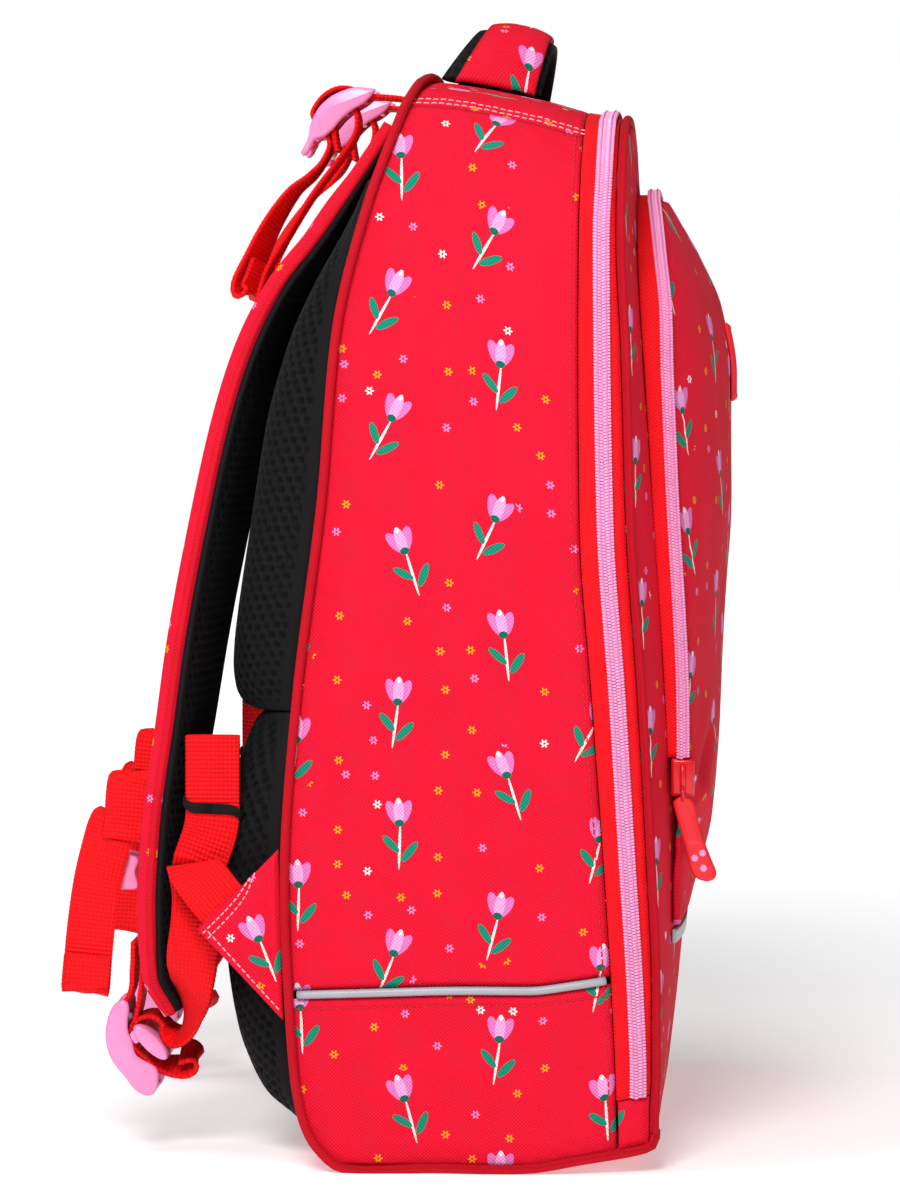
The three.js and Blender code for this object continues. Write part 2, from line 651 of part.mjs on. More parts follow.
// Shoulder straps: a padded shell over a mesh lining
const strapAt = (u, column) => pick(strapRows.map((row) => row[column]), u);
const strapAcross = (u) => {
  const twist = degToRad(strapAt(u, 'twist'));
  return point(-Math.cos(twist), -Math.sin(twist), 0);
};
const strapFace = (u, v) => point(strapAt(u, 'x'), strapAt(u, 'y'), strapAt(u, 'z'))
  .addScaledVector(strapAcross(u), (v - 0.5) * strapAt(u, 'width'));
const strapThick = (u) => strapAt(u, 'thick');
const strapSteps = strapRows.length - 1;
addStrapPair('shoulder_strap', wall(strapSteps, 4, strapFace, strapThick), colours.red);
const strapBack = (u) => strapThick(u) + gap + strapLining;
const strapInside = (u) => strapThick(u) + gap;
const liningWall = wall(strapSteps, 4, strapFace, strapBack, null, strapInside);
addStrapPair('strap_lining', liningWall, colours.black, 0.95);

// A point of the strap's middle line at a height, lifted off its face.
function onStrap(z, lift) {
  const u = strapShare(z);
  return strapFace(u, 0.5).addScaledVector(normalAt(strapFace, u, 0.5), lift);
}
function strapShare(z) {
  const shares = strapRows.map((row, i) => ({ z: row.z, share: i / strapSteps }));
  return rowAt(shares, 'z', z)('share');
}
const webLift = gap + webbing.thick;
function strapWeb(from, to, rows, lift) {
  const heights = stations([from, to], [rows]);
  const ways = heights.map((z) => strapAcross(strapShare(z)));
  return { points: heights.map((z) => onStrap(z, lift)), ways };
}

// Top ladder lock on the lifter webbing, which is sewn to the top and hangs on as a free tail
const topLock = { x: 48, y: 43, z: 386, tilt: degToRad(-43) };
const lockDown = point(0, Math.cos(topLock.tilt), Math.sin(topLock.tilt));
const lockOut = point(0, -Math.sin(topLock.tilt), Math.cos(topLock.tilt));
const lockCentre = point(topLock.x, topLock.y, topLock.z);
function ladderLock(centre, right, up, length) {
  const slot = { long: webbing.width + 1, wide: (length - 3 * lock.bar) / 2 };
  const lift = (slot.wide + lock.bar) / 2;
  const holes = [corners(slot.long, slot.wide, 0, lift), corners(slot.long, slot.wide, 0, -lift)];
  return plate(corners(lock.width, length, lock.round), holes, lock.thick, centre, right, up);
}
addPair('top_lock', ladderLock(lockCentre, xWay, lockDown, lock.top), colours.pink, 0.35);
const overLock = (down) => lockCentre.clone().addScaledVector(lockDown, down)
  .addScaledVector(lockOut, lock.thick / 2 + webLift + 2 * gap);
const lifterRoute = [
  point(topLock.x, 6.6, topHeight(topLock.x, 6.6) + webLift + gap),
  point(topLock.x, 9, topHeight(topLock.x, 9) + webLift + 2.8),
  point(topLock.x, 11.5, topHeight(topLock.x, 11.5) + webLift + 4.6),
  point(topLock.x, 15, topHeight(topLock.x, 14) + webLift + 4.6),
  point(topLock.x, 23, topHeight(topLock.x, 14) + webLift + 2),
  overLock(-13),
  overLock(13),
  point(topLock.x + 1, 65, 361),
  point(topLock.x + 3, 73, 348),
  point(topLock.x + 5, 83, 323.5),
];
const leftward = point(-1, 0, 0);
const turned = (degrees) => point(-Math.cos(degToRad(degrees)), -Math.sin(degToRad(degrees)), 0);
const lifterWays = lifterRoute.map((stop, i) => turned(25 * clamp((i - 6) / 3, 0, 1)));
addStrapPair('lifter_webbing', strip(lifterRoute, lifterWays, 18), colours.zipRed);
const underLock = (down) => lockCentre.clone().addScaledVector(lockDown, down)
  .addScaledVector(lockOut, -lock.thick / 2 - gap);
const strapRun = strapWeb(308, 286, 2, webLift + gap);
const strapWebRoute = [
  underLock(4),
  point(topLock.x, 49.5, 371),
  point(topLock.x + 1, 57.5, 358.5),
  point(topLock.x + 3, 66, 344),
  point(topLock.x + 5, 74.5, 328),
  ...strapRun.points,
];
const strapWebWays = strapWebRoute.map((stop, i) => strapRun.ways[i - 5] ?? leftward);
addStrapPair('strap_top_webbing', strip(strapWebRoute, strapWebWays, 14), colours.zipRed);

// Chest strap: a track sewn on the strap, its buckle, and the webbing that hangs from it
const track = strapWeb(168, 92, 4, webLift);
addStrapPair('chest_anchor', strip(track.points, track.ways, 6), colours.zipRed);
const chestBuckle = { z: 104, deep: 14, wide: 18.4, tall: 13 };
const buckleSeat = onStrap(chestBuckle.z, webLift + 4 * gap + chestBuckle.deep / 2);
const buckleOutline = corners(chestBuckle.wide, chestBuckle.tall, 2.5);
const buckleSolid = plate(buckleOutline, [], chestBuckle.deep, buckleSeat, xWay.clone().negate(), zWay);
addStrapPair('chest_buckle', buckleSolid, colours.pink, 0.35);
const chestX = buckleSeat.x + chestBuckle.wide / 2 + webLift;
const chestRoute = [
  point(chestX, buckleSeat.y - 3.5, 141),
  point(chestX, buckleSeat.y + 2.6, 118),
  point(chestX, buckleSeat.y + 8.8, 90),
  point(chestX, buckleSeat.y + 11.4, 62),
];
const chestWay = point(0, 1, 0.12);
addStrapPair('chest_webbing', strip(chestRoute, [chestWay, chestWay], 6, 18.5), colours.zipRed);

// Lower ladder lock on a loop at the strap's end
const lowLock = point(89, 121.5, 39.5);
const lowTilt = degToRad(18);
const lowUp = point(0, Math.sin(lowTilt), Math.cos(lowTilt));
const lowOut = xWay.clone().cross(lowUp);
addStrapPair('lower_lock', ladderLock(lowLock, xWay, lowUp, lock.low), colours.pink, 0.35);
const byLock = (up, out) => lowLock.clone().addScaledVector(lowUp, up)
  .addScaledVector(lowOut, lock.thick / 2 + gap + out);
const loopRun = strapWeb(88, 78, 1, webLift + gap / 2);
const loopRoute = [...loopRun.points, point(lowLock.x, 119.8, 64), byLock(13, -0.3), byLock(4, -0.3)];
const loopWays = loopRoute.map((stop, i) => loopRun.ways[i] ?? leftward);
addStrapPair('strap_end_loop', strip(loopRoute, loopWays, 8, 19), colours.zipRed);

// Side tab in the back seam, the webbing sewn to it, and its spare length folded in a keeper
const tab = { x: 138.7, thick: 2.2 };
const tabOutline = [[61, 55.5], [92.4, 88.6], [75, 105.6], [62.8, 118]];
addPair('side_tab', plate(tabOutline, [], tab.thick, point(tab.x, 0, 0), yWay, zWay), colours.red);
const tabInside = tab.x - tab.thick / 2 - gap;
const lowerRoute = [
  { at: byLock(-8, 0.1), way: leftward },
  { at: point(lowLock.x + 0.5, 109, 32), way: leftward },
  { at: point(92, 103.5, 33), way: point(-0.95, 0.1, 0.3) },
  { at: point(98, 100.3, 38), way: point(-0.8, 0.5, 0.35) },
  { at: point(108.5, 99.3, 44), way: point(-0.5, 0.8, 0.3) },
  { at: point(115.6, 98, 55), way: point(-0.1, 0.98, 0.1) },
  { at: point(116, 96, 69), way: point(0, 1, 0) },
  { at: point(112, 94.5, 97), way: point(0, 1, 0) },
  { at: point(115, 96, 107), way: point(0, 1, -0.08) },
  { at: point(121, 95.5, 108.6), way: point(0, 0.98, -0.2) },
  { at: point(129.5, 90.5, 104), way: point(0, 0.85, -0.5) },
  { at: point(tabInside - 1, 83.7, 97.4), way: point(0, 0.72, -0.69) },
  { at: point(tabInside, 77, 91), way: point(0, 0.7, -0.71) },
];
const lowerWeb = strip(lowerRoute.map((stop) => stop.at), lowerRoute.map((stop) => stop.way), 28);
addStrapPair('lower_webbing', lowerWeb, colours.zipRed, undefined, webSwing);
const hank = { x: 112, y: 89.3, low: 108.9, high: 158, thick: 6, lean: 6 };
const hankRoute = [[hank.lean, hank.low], [hank.lean * 0.3, 118], [0, 128], [0, hank.high]]
  .map(([lean, z]) => point(hank.x + hank.thick / 2, hank.y + lean, z));
const hankWay = yWay.clone().negate();
const hankWeb = strip(hankRoute, [hankWay, hankWay], 6, webbing.width, hank.thick);
addPair('webbing_hank', hankWeb, colours.zipRed);
const keeper = { z: 130.5, tall: 5.5, cloth: 1.2, slack: 1 };
const keeperInside = { across: hank.thick + 2 * gap, wide: webbing.width + 2 * gap + keeper.slack };
const keeperHole = corners(keeperInside.across, keeperInside.wide);
const keeperOutline = corners(keeperInside.across + 2 * keeper.cloth, keeperInside.wide + 2 * keeper.cloth);
const keeperCentre = point(hank.x, hank.y, keeper.z);
const keeperRing = plate(keeperOutline, [keeperHole], keeper.tall, keeperCentre, xWay, yWay);
addPair('keeper_band', keeperRing, colours.black, 0.9);

export default bag;
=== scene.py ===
import math
import bmesh
import bpy
import numpy as np
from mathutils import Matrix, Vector


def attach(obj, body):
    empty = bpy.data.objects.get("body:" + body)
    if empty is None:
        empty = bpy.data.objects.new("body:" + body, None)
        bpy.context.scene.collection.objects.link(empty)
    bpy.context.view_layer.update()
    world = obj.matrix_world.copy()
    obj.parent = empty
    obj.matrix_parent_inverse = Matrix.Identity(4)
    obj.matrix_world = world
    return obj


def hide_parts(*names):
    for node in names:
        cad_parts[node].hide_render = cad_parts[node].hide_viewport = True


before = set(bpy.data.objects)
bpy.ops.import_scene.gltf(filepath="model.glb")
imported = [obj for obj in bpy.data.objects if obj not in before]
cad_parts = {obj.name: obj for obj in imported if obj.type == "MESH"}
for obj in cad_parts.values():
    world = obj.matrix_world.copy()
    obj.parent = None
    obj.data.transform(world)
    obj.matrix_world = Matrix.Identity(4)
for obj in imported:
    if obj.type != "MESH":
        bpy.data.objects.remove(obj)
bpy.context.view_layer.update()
mm = 0.001
bagBody = "bag"
bothSides = ((1, "_right"), (-1, "_left"))

# small tools

def hexColour(text):
    # sRGB hex to linear, opaque
    raw = [int(text[i:i + 2], 16) / 255 for i in (1, 3, 5)]
    return (*(c / 12.92 if c <= 0.04045 else ((c + 0.055) / 1.055) ** 2.4 for c in raw), 1)


def column(table, name):
    return np.array([row[name] for row in table], float)


def smoothAlong(xs, ys, at):
    # a smooth line through table rows that never overshoots them
    order = np.argsort(xs)
    xs = np.asarray(xs, float)[order]
    ys = np.asarray(ys, float)[order]
    step = np.diff(xs)
    slope = np.diff(ys) / step
    tangent = np.zeros_like(ys)
    both = slope[1:] * slope[:-1]
    tangent[1:-1] = np.where(both > 0, 2 * both / (slope[1:] + slope[:-1] + 1e-12), 0)
    tangent[0] = slope[0]
    tangent[-1] = slope[-1]
    at = np.clip(np.asarray(at, float), xs[0], xs[-1])
    i = np.clip(np.searchsorted(xs, at) - 1, 0, len(xs) - 2)
    t = (at - xs[i]) / step[i]
    a = ys[i] * (2 * t ** 3 - 3 * t ** 2 + 1) + ys[i + 1] * (-2 * t ** 3 + 3 * t ** 2)
    return a + step[i] * (tangent[i] * (t ** 3 - 2 * t ** 2 + t) + tangent[i + 1] * (t ** 3 - t ** 2))


def readRow(table, key, name, at):
    return smoothAlong(column(table, key), column(table, name), at)


def smoothStep(low, high, x):
    t = np.clip((np.asarray(x, float) - low) / (high - low), 0, 1)
    return t * t * (3 - 2 * t)


def ripple(seed, *coords):
    # a quiet, repeatable unevenness between -1 and 1: a few sine waves at odd angles
    draw = np.random.default_rng(seed)
    total = 0
    for _ in range(6):
        turn = draw.uniform(0, 2 * math.pi)
        wide = draw.uniform(0.6, 1.7)
        phase = draw.uniform(0, 2 * math.pi)
        total = total + np.sin(wide * (coords[0] * math.cos(turn) + coords[1] * math.sin(turn)) + phase)
    return total / 6


def unit(vectors):
    return vectors / np.maximum(np.linalg.norm(vectors, axis=-1, keepdims=True), 1e-9)


def gridNormals(points):
    return unit(np.cross(np.gradient(points, axis=0), np.gradient(points, axis=1)))


def runLength(points, axis=0):
    # length from the start along a line, or along one way of a grid
    steps = np.diff(points, axis=axis, prepend=np.take(points, [0], axis))
    return np.cumsum(np.linalg.norm(steps, axis=-1), axis=axis)


def spread(first, second):
    # a grid of two evenly spaced values
    return np.meshgrid(np.linspace(*first), np.linspace(*second), indexing="ij")


def xyz(x, y, z):
    return np.stack(np.broadcast_arrays(x, y, z), -1)


def readLine(at, along, line):
    return np.stack([np.interp(at, along, line[:, k]) for k in range(3)], -1)


def newObject(name, verts, faces, material, cloth=None, smooth=True):
    name = name.replace("_", "-")
    mesh = bpy.data.meshes.new(name)
    verts = np.array(verts, float)
    verts[:, 2] = np.maximum(verts[:, 2], 0)  # nothing sinks into the floor
    mesh.from_pydata((verts * mm).tolist(), [], faces)
    if cloth is not None:
        layer = mesh.attributes.new("cloth", "FLOAT_VECTOR", "POINT")
        layer.data.foreach_set("vector", np.asarray(cloth, np.float32).ravel())
    mesh.materials.append(material)
    if smooth:
        mesh.polygons.foreach_set("use_smooth", [True] * len(mesh.polygons))
    mesh.update()
    piece = bpy.data.objects.new(name, mesh)
    bpy.context.scene.collection.objects.link(piece)
    return piece


def gridFaces(rows, cols):
    # the squares of a grid of points, and the points round its rim
    at = np.arange(rows * cols).reshape(rows, cols)
    squares = np.stack([at[:-1, :-1], at[1:, :-1], at[1:, 1:], at[:-1, 1:]], -1).reshape(-1, 4)
    return squares, np.concatenate([at[:-1, 0], at[-1, :-1], at[:0:-1, -1], at[0, :0:-1]])


def ringFaces(rings, sides, onward):
    # the squares between rings of points; onward says which way they face
    at = np.arange(rings * sides).reshape(rings, sides)
    after = np.roll(at, -1, axis=1)
    order = (at[:-1], at[1:], after[1:], after[:-1]) if onward else (at[:-1], after[:-1], after[1:], at[1:])
    return at, np.stack(order, -1).reshape(-1, 4)


def thickSheet(outer, thick, cloth, direction=None):
    # closes a grid of outer points into a thin body; thick is a number or a grid
    shape = outer.shape[:2]
    normal = gridNormals(outer) if direction is None else np.array(direction, float)
    inner = outer - normal * np.broadcast_to(np.asarray(thick, float), shape)[..., None]
    squares, rim = gridFaces(*shape)
    count = shape[0] * shape[1]
    after = np.roll(rim, -1)
    side = np.stack([after, rim, rim + count, after + count], -1)
    faces = np.concatenate([squares, squares[:, [0, 3, 2, 1]] + count, side]).tolist()
    verts = np.concatenate([outer.reshape(-1, 3), inner.reshape(-1, 3)])
    return verts, faces, np.concatenate([cloth.reshape(-1, 3)] * 2)


def mirrored(verts, faces, marks=None):
    # a shape on the other side of the bag
    return verts * np.array([-1, 1, 1]), [face[::-1] for face in faces], marks


def addPiece(name, shape, material, inCad=True, body=bagBody):
    # shape is points, faces and any marks on the cloth; inCad: it takes the place of the solid of its name
    piece = newObject(name, *shape[:2], material, *shape[2:])
    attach(piece, body)
    if inCad:
        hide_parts(name)
    return piece


def addSheet(name, outer, thick, cloth, material, side=1, direction=None):
    shape = thickSheet(outer, thick, cloth, direction)
    return addPiece(name, shape if side > 0 else mirrored(*shape), material)


def framesAlong(path, up):
    # tangent, side and normal at each point of a line; up is a hint for the normal
    tangent = unit(np.gradient(path, axis=0))
    side = unit(np.cross(tangent, np.broadcast_to(np.asarray(up, float), path.shape)))
    return tangent, side, np.cross(side, tangent)


def evenPoints(path, pitch):
    # the same line cut into even steps
    path = np.asarray(path, float)
    along = runLength(path)
    count = max(2, int(round(along[-1] / pitch)) + 1)
    return readLine(np.linspace(0, along[-1], count), along, path)


def curveKnots(points):
    steps = np.sqrt(np.linalg.norm(np.diff(points, axis=0), axis=1))
    return np.concatenate([[0], np.cumsum(steps)])


def curvePoints(points, count):
    # a smooth curve through a few points
    points = np.asarray(points, float)
    along = curveKnots(points)
    at = np.linspace(0, along[-1], count)
    ends = np.vstack([2 * points[0] - points[1], points, 2 * points[-1] - points[-2]])
    knots = np.concatenate([[2 * along[0] - along[1]], along, [2 * along[-1] - along[-2]]])
    i = np.clip(np.searchsorted(along, at, side="right") - 1, 0, len(points) - 2)
    t0, t1, t2, t3 = (knots[i + k] for k in range(4))
    p0, p1, p2, p3 = (ends[i + k] for k in range(4))

    def mix(a, b, low, high):
        span = high - low
        return ((high - at) / span)[:, None] * a + ((at - low) / span)[:, None] * b

    a1, a2, a3 = mix(p0, p1, t0, t1), mix(p1, p2, t1, t2), mix(p2, p3, t2, t3)
    return mix(mix(a1, a2, t0, t2), mix(a2, a3, t1, t3), t1, t2)


def tubeMesh(path, radius, sides, up):
    # a closed round cord with capped ends; radius is a number or one for each point
    path = np.asarray(path, float)
    _, side, normal = framesAlong(path, up)
    turn = np.linspace(0, 2 * math.pi, sides, endpoint=False)
    radius = np.broadcast_to(np.asarray(radius, float), len(path))
    ring = side[:, None] * np.cos(turn)[None, :, None] + normal[:, None] * np.sin(turn)[None, :, None]
    verts = (path[:, None] + ring * radius[:, None, None]).reshape(-1, 3)
    at, squares = ringFaces(len(path), sides, True)
    cloth = xyz(turn * radius.mean(), runLength(path)[:, None], 0.0)
    return verts, squares.tolist() + [at[0].tolist(), at[-1][::-1].tolist()], cloth.reshape(-1, 3)


# materials

def put(tree, kind, inputs=None, **settings):
    # adds one node, sets it and links what is a socket; a node stands for its first output
    made = tree.nodes.new("ShaderNode" + kind)
    for name, value in settings.items():
        setattr(made, name, value)
    for name, value in (inputs or {}).items():
        if isinstance(value, bpy.types.Node):
            value = value.outputs[0]
        if isinstance(value, bpy.types.NodeSocket):
            tree.links.new(value, made.inputs[name])
        else:
            made.inputs[name].default_value = value
    return made


def startMaterial(name, sockets):
    material = bpy.data.materials.new(name)
    material.use_nodes = True
    tree = material.node_tree
    tree.nodes.clear()
    shader = put(tree, "BsdfPrincipled", sockets)
    put(tree, "OutputMaterial", {"Surface": shader})
    return material, tree, shader


def dressMaterial(tree, shader, colour, height, strength, deep):
    # the colour and the relief of a material; deep is in metres
    bump = put(tree, "Bump", {"Height": height, "Strength": strength, "Distance": deep})
    tree.links.new(colour, shader.inputs["Base Color"])
    tree.links.new(bump.outputs[0], shader.inputs["Normal"])


def clothMarks(tree):
    # place on the flat cloth in mm: across, along, and the distance from the nearest seam
    mark = put(tree, "Attribute", attribute_name="cloth").outputs["Vector"]
    parts = put(tree, "SeparateXYZ", {0: mark})
    return mark, parts.outputs[0], parts.outputs[1], parts.outputs[2]


def threadWaves(tree, across, along, pitch):
    # crossing rows of threads, each row one sine wave
    waves = []
    for place in (across, along):
        turn = put(tree, "Math", {0: place, 1: 2 * math.pi / pitch}, operation="MULTIPLY")
        waves.append(put(tree, "Math", {0: turn}, operation="SINE"))
    return waves


def shadedBy(tree, colour, value, low, high, dark, light):
    # a colour times a tone that goes from dark to light as the value goes from low to high
    tone = put(tree, "MapRange", {0: value, 1: low, 2: high, 3: dark, 4: light})
    shaded = put(tree, "Mix", {"Factor": 1.0, "A": colour, "B": tone},
                 data_type="RGBA", blend_type="MULTIPLY")
    return shaded.outputs["Result"]


def unevenTone(tree, vector, colour, spacing, depth):
    # soft light and dark patches in a colour, spacing in the unit of the vector
    noise = put(tree, "TexNoise", {"Vector": vector, "Scale": 1 / spacing, "Detail": 3.0})
    return shadedBy(tree, colour, noise.outputs["Fac"], 0.3, 0.7, 1 - depth, 1 + depth)


printDesign = dict(
    wide=37, tall=49, drop=0.43, scatter=9, lean=0.45,  # one sprig in each cell, mm and radians
    blossomSpacing=12.5, blossomRadius=1.25, petalDepth=0.42, petals=6, share=0.5, heart=0.45,
    clear=(9, 15),  # no blossom this near a sprig
    sprig=[  # an ellipse for each part: centre, turn in degrees, radii, colour
        dict(at=(0.3, -4.5), turn=4, size=(0.5, 8.4), colour="#F9EDEA"),
        dict(at=(-3.3, -6.4), turn=40, size=(1.5, 4.5), colour="#178F74"),
        dict(at=(3.4, -3.4), turn=-42, size=(1.4, 4.1), colour="#178F74"),
        dict(at=(-2.2, 8.0), turn=24, size=(2.0, 4.6), colour="#E97CC4"),
        dict(at=(2.2, 8.0), turn=-24, size=(2.0, 4.6), colour="#E97CC4"),
        dict(at=(0, 8.2), turn=0, size=(1.9, 4.9), colour="#F6A9DD"),
        dict(at=(0, 4.1), turn=0, size=(1.7, 1.3), colour="#0F6E5B"),
        dict(at=(0, 12.2), turn=0, size=(0.8, 1.1), colour="#FBE9F2"),
    ],
    yellow="#F9A11B", pink="#EE8BCB", white="#FDF3EE", pinkFrom=0.62, whiteFrom=0.9,
)


def sprigPrint(tree, cloth, ground):
    # screen print of bell flowers on stems with small six-petalled blossoms between them
    d = printDesign
    cell = put(tree, "VectorMath", {0: cloth, 1: (d["wide"], d["tall"], 1)}, operation="DIVIDE")
    parts = put(tree, "SeparateXYZ", {0: cell})
    row = put(tree, "Math", {0: parts.outputs[0]}, operation="FLOOR")
    drop = put(tree, "Math", {0: row, 1: d["drop"]}, operation="MULTIPLY")
    lifted = put(tree, "Math", {0: parts.outputs[1], 1: drop}, operation="ADD")
    level = put(tree, "Math", {0: lifted}, operation="FLOOR")
    number = put(tree, "CombineXYZ", {0: row, 1: level})
    chance = put(tree, "TexWhiteNoise", {"Vector": number}, noise_dimensions="2D")
    inX = put(tree, "Math", {0: parts.outputs[0]}, operation="FRACT")
    inY = put(tree, "Math", {0: lifted}, operation="FRACT")
    inside = put(tree, "CombineXYZ", {0: inX, 1: inY, 2: 0.5})
    centred = put(tree, "VectorMath", {0: inside, 1: (0.5, 0.5, 0.5)}, operation="SUBTRACT")
    local = put(tree, "VectorMath", {0: centred, 1: (d["wide"], d["tall"], 0)}, operation="MULTIPLY")
    shift = put(tree, "VectorMath", {0: chance.outputs["Color"], 1: (0.5, 0.5, 0.5)}, operation="SUBTRACT")
    moved = put(tree, "VectorMath", {0: shift, 1: (d["scatter"], d["scatter"], 0), 2: local},
                operation="MULTIPLY_ADD")
    lean = put(tree, "MapRange", {0: chance.outputs["Value"], 3: -d["lean"], 4: d["lean"]})
    spot = put(tree, "VectorRotate", {"Vector": moved, "Angle": lean}, rotation_type="Z_AXIS")
    # blossoms first, so that the sprigs lie over them
    field = put(tree, "TexVoronoi", {"Vector": cloth, "Scale": 1 / d["blossomSpacing"], "Randomness": 0.85},
                voronoi_dimensions="2D")
    away = put(tree, "VectorMath", {0: cloth, 1: field.outputs["Position"]}, operation="SUBTRACT")
    flat = put(tree, "VectorMath", {0: away, 1: (1, 1, 0)}, operation="MULTIPLY")
    reach = put(tree, "VectorMath", {0: flat}, operation="LENGTH").outputs["Value"]
    ways = put(tree, "SeparateXYZ", {0: flat})
    angle = put(tree, "Math", {0: ways.outputs[1], 1: ways.outputs[0]}, operation="ARCTAN2")
    many = put(tree, "Math", {0: angle, 1: float(d["petals"])}, operation="MULTIPLY")
    lobes = put(tree, "Math", {0: many}, operation="COSINE")
    edge = put(tree, "Math", {0: lobes, 1: d["petalDepth"], 2: d["blossomRadius"]},
               operation="MULTIPLY_ADD")
    petal = put(tree, "Math", {0: reach, 1: edge}, operation="LESS_THAN")
    picks = put(tree, "SeparateColor", {0: field.outputs["Color"]})
    here = put(tree, "Math", {0: picks.outputs[0], 1: d["share"]}, operation="LESS_THAN")
    guard = put(tree, "Mapping", {"Vector": spot, "Scale": (*d["clear"], 1)}, vector_type="TEXTURE")
    guardReach = put(tree, "VectorMath", {0: guard}, operation="LENGTH").outputs["Value"]
    free = put(tree, "Math", {0: guardReach, 1: 1.0}, operation="GREATER_THAN")
    shown = put(tree, "Math", {0: petal, 1: here}, operation="MULTIPLY")
    shown = put(tree, "Math", {0: shown, 1: free}, operation="MULTIPLY")
    pinkPart = put(tree, "Math", {0: picks.outputs[1], 1: d["pinkFrom"]}, operation="GREATER_THAN")
    whitePart = put(tree, "Math", {0: picks.outputs[1], 1: d["whiteFrom"]}, operation="GREATER_THAN")
    heart = put(tree, "Math", {0: reach, 1: d["heart"]}, operation="LESS_THAN")
    ink = hexColour(d["yellow"])
    layers = ((pinkPart, hexColour(d["pink"])), (whitePart, hexColour(d["white"])), (heart, ground))
    for share, over in layers:
        ink = put(tree, "Mix", {"Factor": share, "A": ink, "B": over}, data_type="RGBA").outputs["Result"]
    colour = put(tree, "Mix", {"Factor": shown, "A": ground, "B": ink}, data_type="RGBA").outputs["Result"]
    for part in d["sprig"]:
        turn = (0, 0, math.radians(part["turn"]))
        place = put(tree, "Mapping", {"Vector": spot, "Location": (*part["at"], 0), "Rotation": turn,
                                      "Scale": (*part["size"], 1)}, vector_type="TEXTURE")
        far = put(tree, "VectorMath", {0: place}, operation="LENGTH").outputs["Value"]
        within = put(tree, "Math", {0: far, 1: 1.0}, operation="LESS_THAN")
        colour = put(tree, "Mix", {"Factor": within, "A": colour, "B": hexColour(part["colour"])},
                     data_type="RGBA").outputs["Result"]
    return colour


def wovenPolyester(name, ground, printed, pitch=1.4):
    # 600 denier polyester canvas, plain woven: a fine checked grain, with painted shade in the hollows
    #                                           between the threads and painted light on their crowns, matt
    #                                           with a slight sheen
    # threads are really 0.5 mm apart, drawn wider so that the grain shows
    material, tree, shader = startMaterial(name, {"Roughness": 0.74, "Sheen Weight": 0.015,
                                                  "Sheen Roughness": 0.4, "Specular IOR Level": 0.1})
    cloth, across, along, seam = clothMarks(tree)
    waves = threadWaves(tree, across, along, pitch)
    reliefHeight = put(tree, "Math", {0: waves[0], 1: waves[1]}, operation="MULTIPLY")
    colour = unevenTone(tree, cloth, hexColour(ground), 26, 0.05)
    if printed:
        colour = sprigPrint(tree, cloth, colour)
    # painted shade and light: the colour is darker in the weave's hollows and lighter on its crowns
    colour = shadedBy(tree, colour, reliefHeight, -1.0, 1.0, 0.62, 1.12)
    # painted shade: the cloth is drawn darker near a seam, where it tucks in
    colour = shadedBy(tree, colour, seam, 0.0, 2.0, 0.8, 1.0)  # darker in the seams
    slub = put(tree, "TexNoise", {"Vector": cloth, "Scale": 1.3, "Detail": 2.0})
    height = put(tree, "Math", {0: slub.outputs["Fac"], 1: 0.9, 2: reliefHeight}, operation="MULTIPLY_ADD")
    dressMaterial(tree, shader, colour, height, 0.55, 0.00012)
    return material


def twillTape(name, ground, pitch, chevron):
    # polyester tape woven in a herringbone: slanting ribs that change way, soft sheen, with painted shade
    # in the grooves between the ribs
    material, tree, shader = startMaterial(name, {"Roughness": 0.66, "Sheen Weight": 0.015,
                                                  "Specular IOR Level": 0.14})
    cloth, across, along, _ = clothMarks(tree)
    fold = put(tree, "Math", {0: across, 1: chevron}, operation="PINGPONG")
    slant = put(tree, "Math", {0: fold, 1: along}, operation="ADD")
    turn = put(tree, "Math", {0: slant, 1: 2 * math.pi / pitch}, operation="MULTIPLY")
    rib = put(tree, "Math", {0: turn}, operation="SINE")
    colour = unevenTone(tree, cloth, hexColour(ground), 15, 0.05)
    # painted shade: the grooves between the ribs are drawn darker, the ribs a little lighter
    colour = shadedBy(tree, colour, rib, -1.0, 1.0, 0.72, 1.06)
    dressMaterial(tree, shader, colour, rib, 0.6, 0.00014)
    return material


def ribbedWebbing(name, ground, pitch):
    # polyester webbing: close cross ribs in rows of small floats, with painted shade between the ribs and a
    # slight painted highlight on them
    material, tree, shader = startMaterial(name, {"Roughness": 0.6, "Sheen Weight": 0.015,
                                                  "Specular IOR Level": 0.14})
    cloth, across, along, _ = clothMarks(tree)
    waves = threadWaves(tree, across, along, pitch)
    ribs = put(tree, "Math", {0: waves[0], 1: 0.7, 2: waves[1]}, operation="MULTIPLY_ADD")
    colour = unevenTone(tree, cloth, hexColour(ground), 18, 0.06)
    # painted shade and highlight: darker between the ribs, a little lighter on them
    colour = shadedBy(tree, colour, ribs, -1.7, 1.2, 0.74, 1.04)
    dressMaterial(tree, shader, colour, ribs, 0.75, 0.0002)
    return material


def mouldedPlastic(name, ground, roughness, grit, soft):
    # moulded acetal or soft rubber: one even colour with a faint grit from the mould and slight clouding
    material, tree, shader = startMaterial(name, {"Roughness": roughness, "IOR": 1.48,
                                                  "Subsurface Weight": soft,
                                                  "Subsurface Radius": (0.004, 0.002, 0.002)})
    place = put(tree, "TexCoord").outputs["Object"]
    colour = unevenTone(tree, place, hexColour(ground), 0.012, 0.04)
    reliefHeight = put(tree, "TexNoise", {"Vector": place, "Scale": 1 / grit, "Detail": 2.0})
    dressMaterial(tree, shader, colour, reliefHeight.outputs["Fac"], 0.12, 0.0001)
    return material


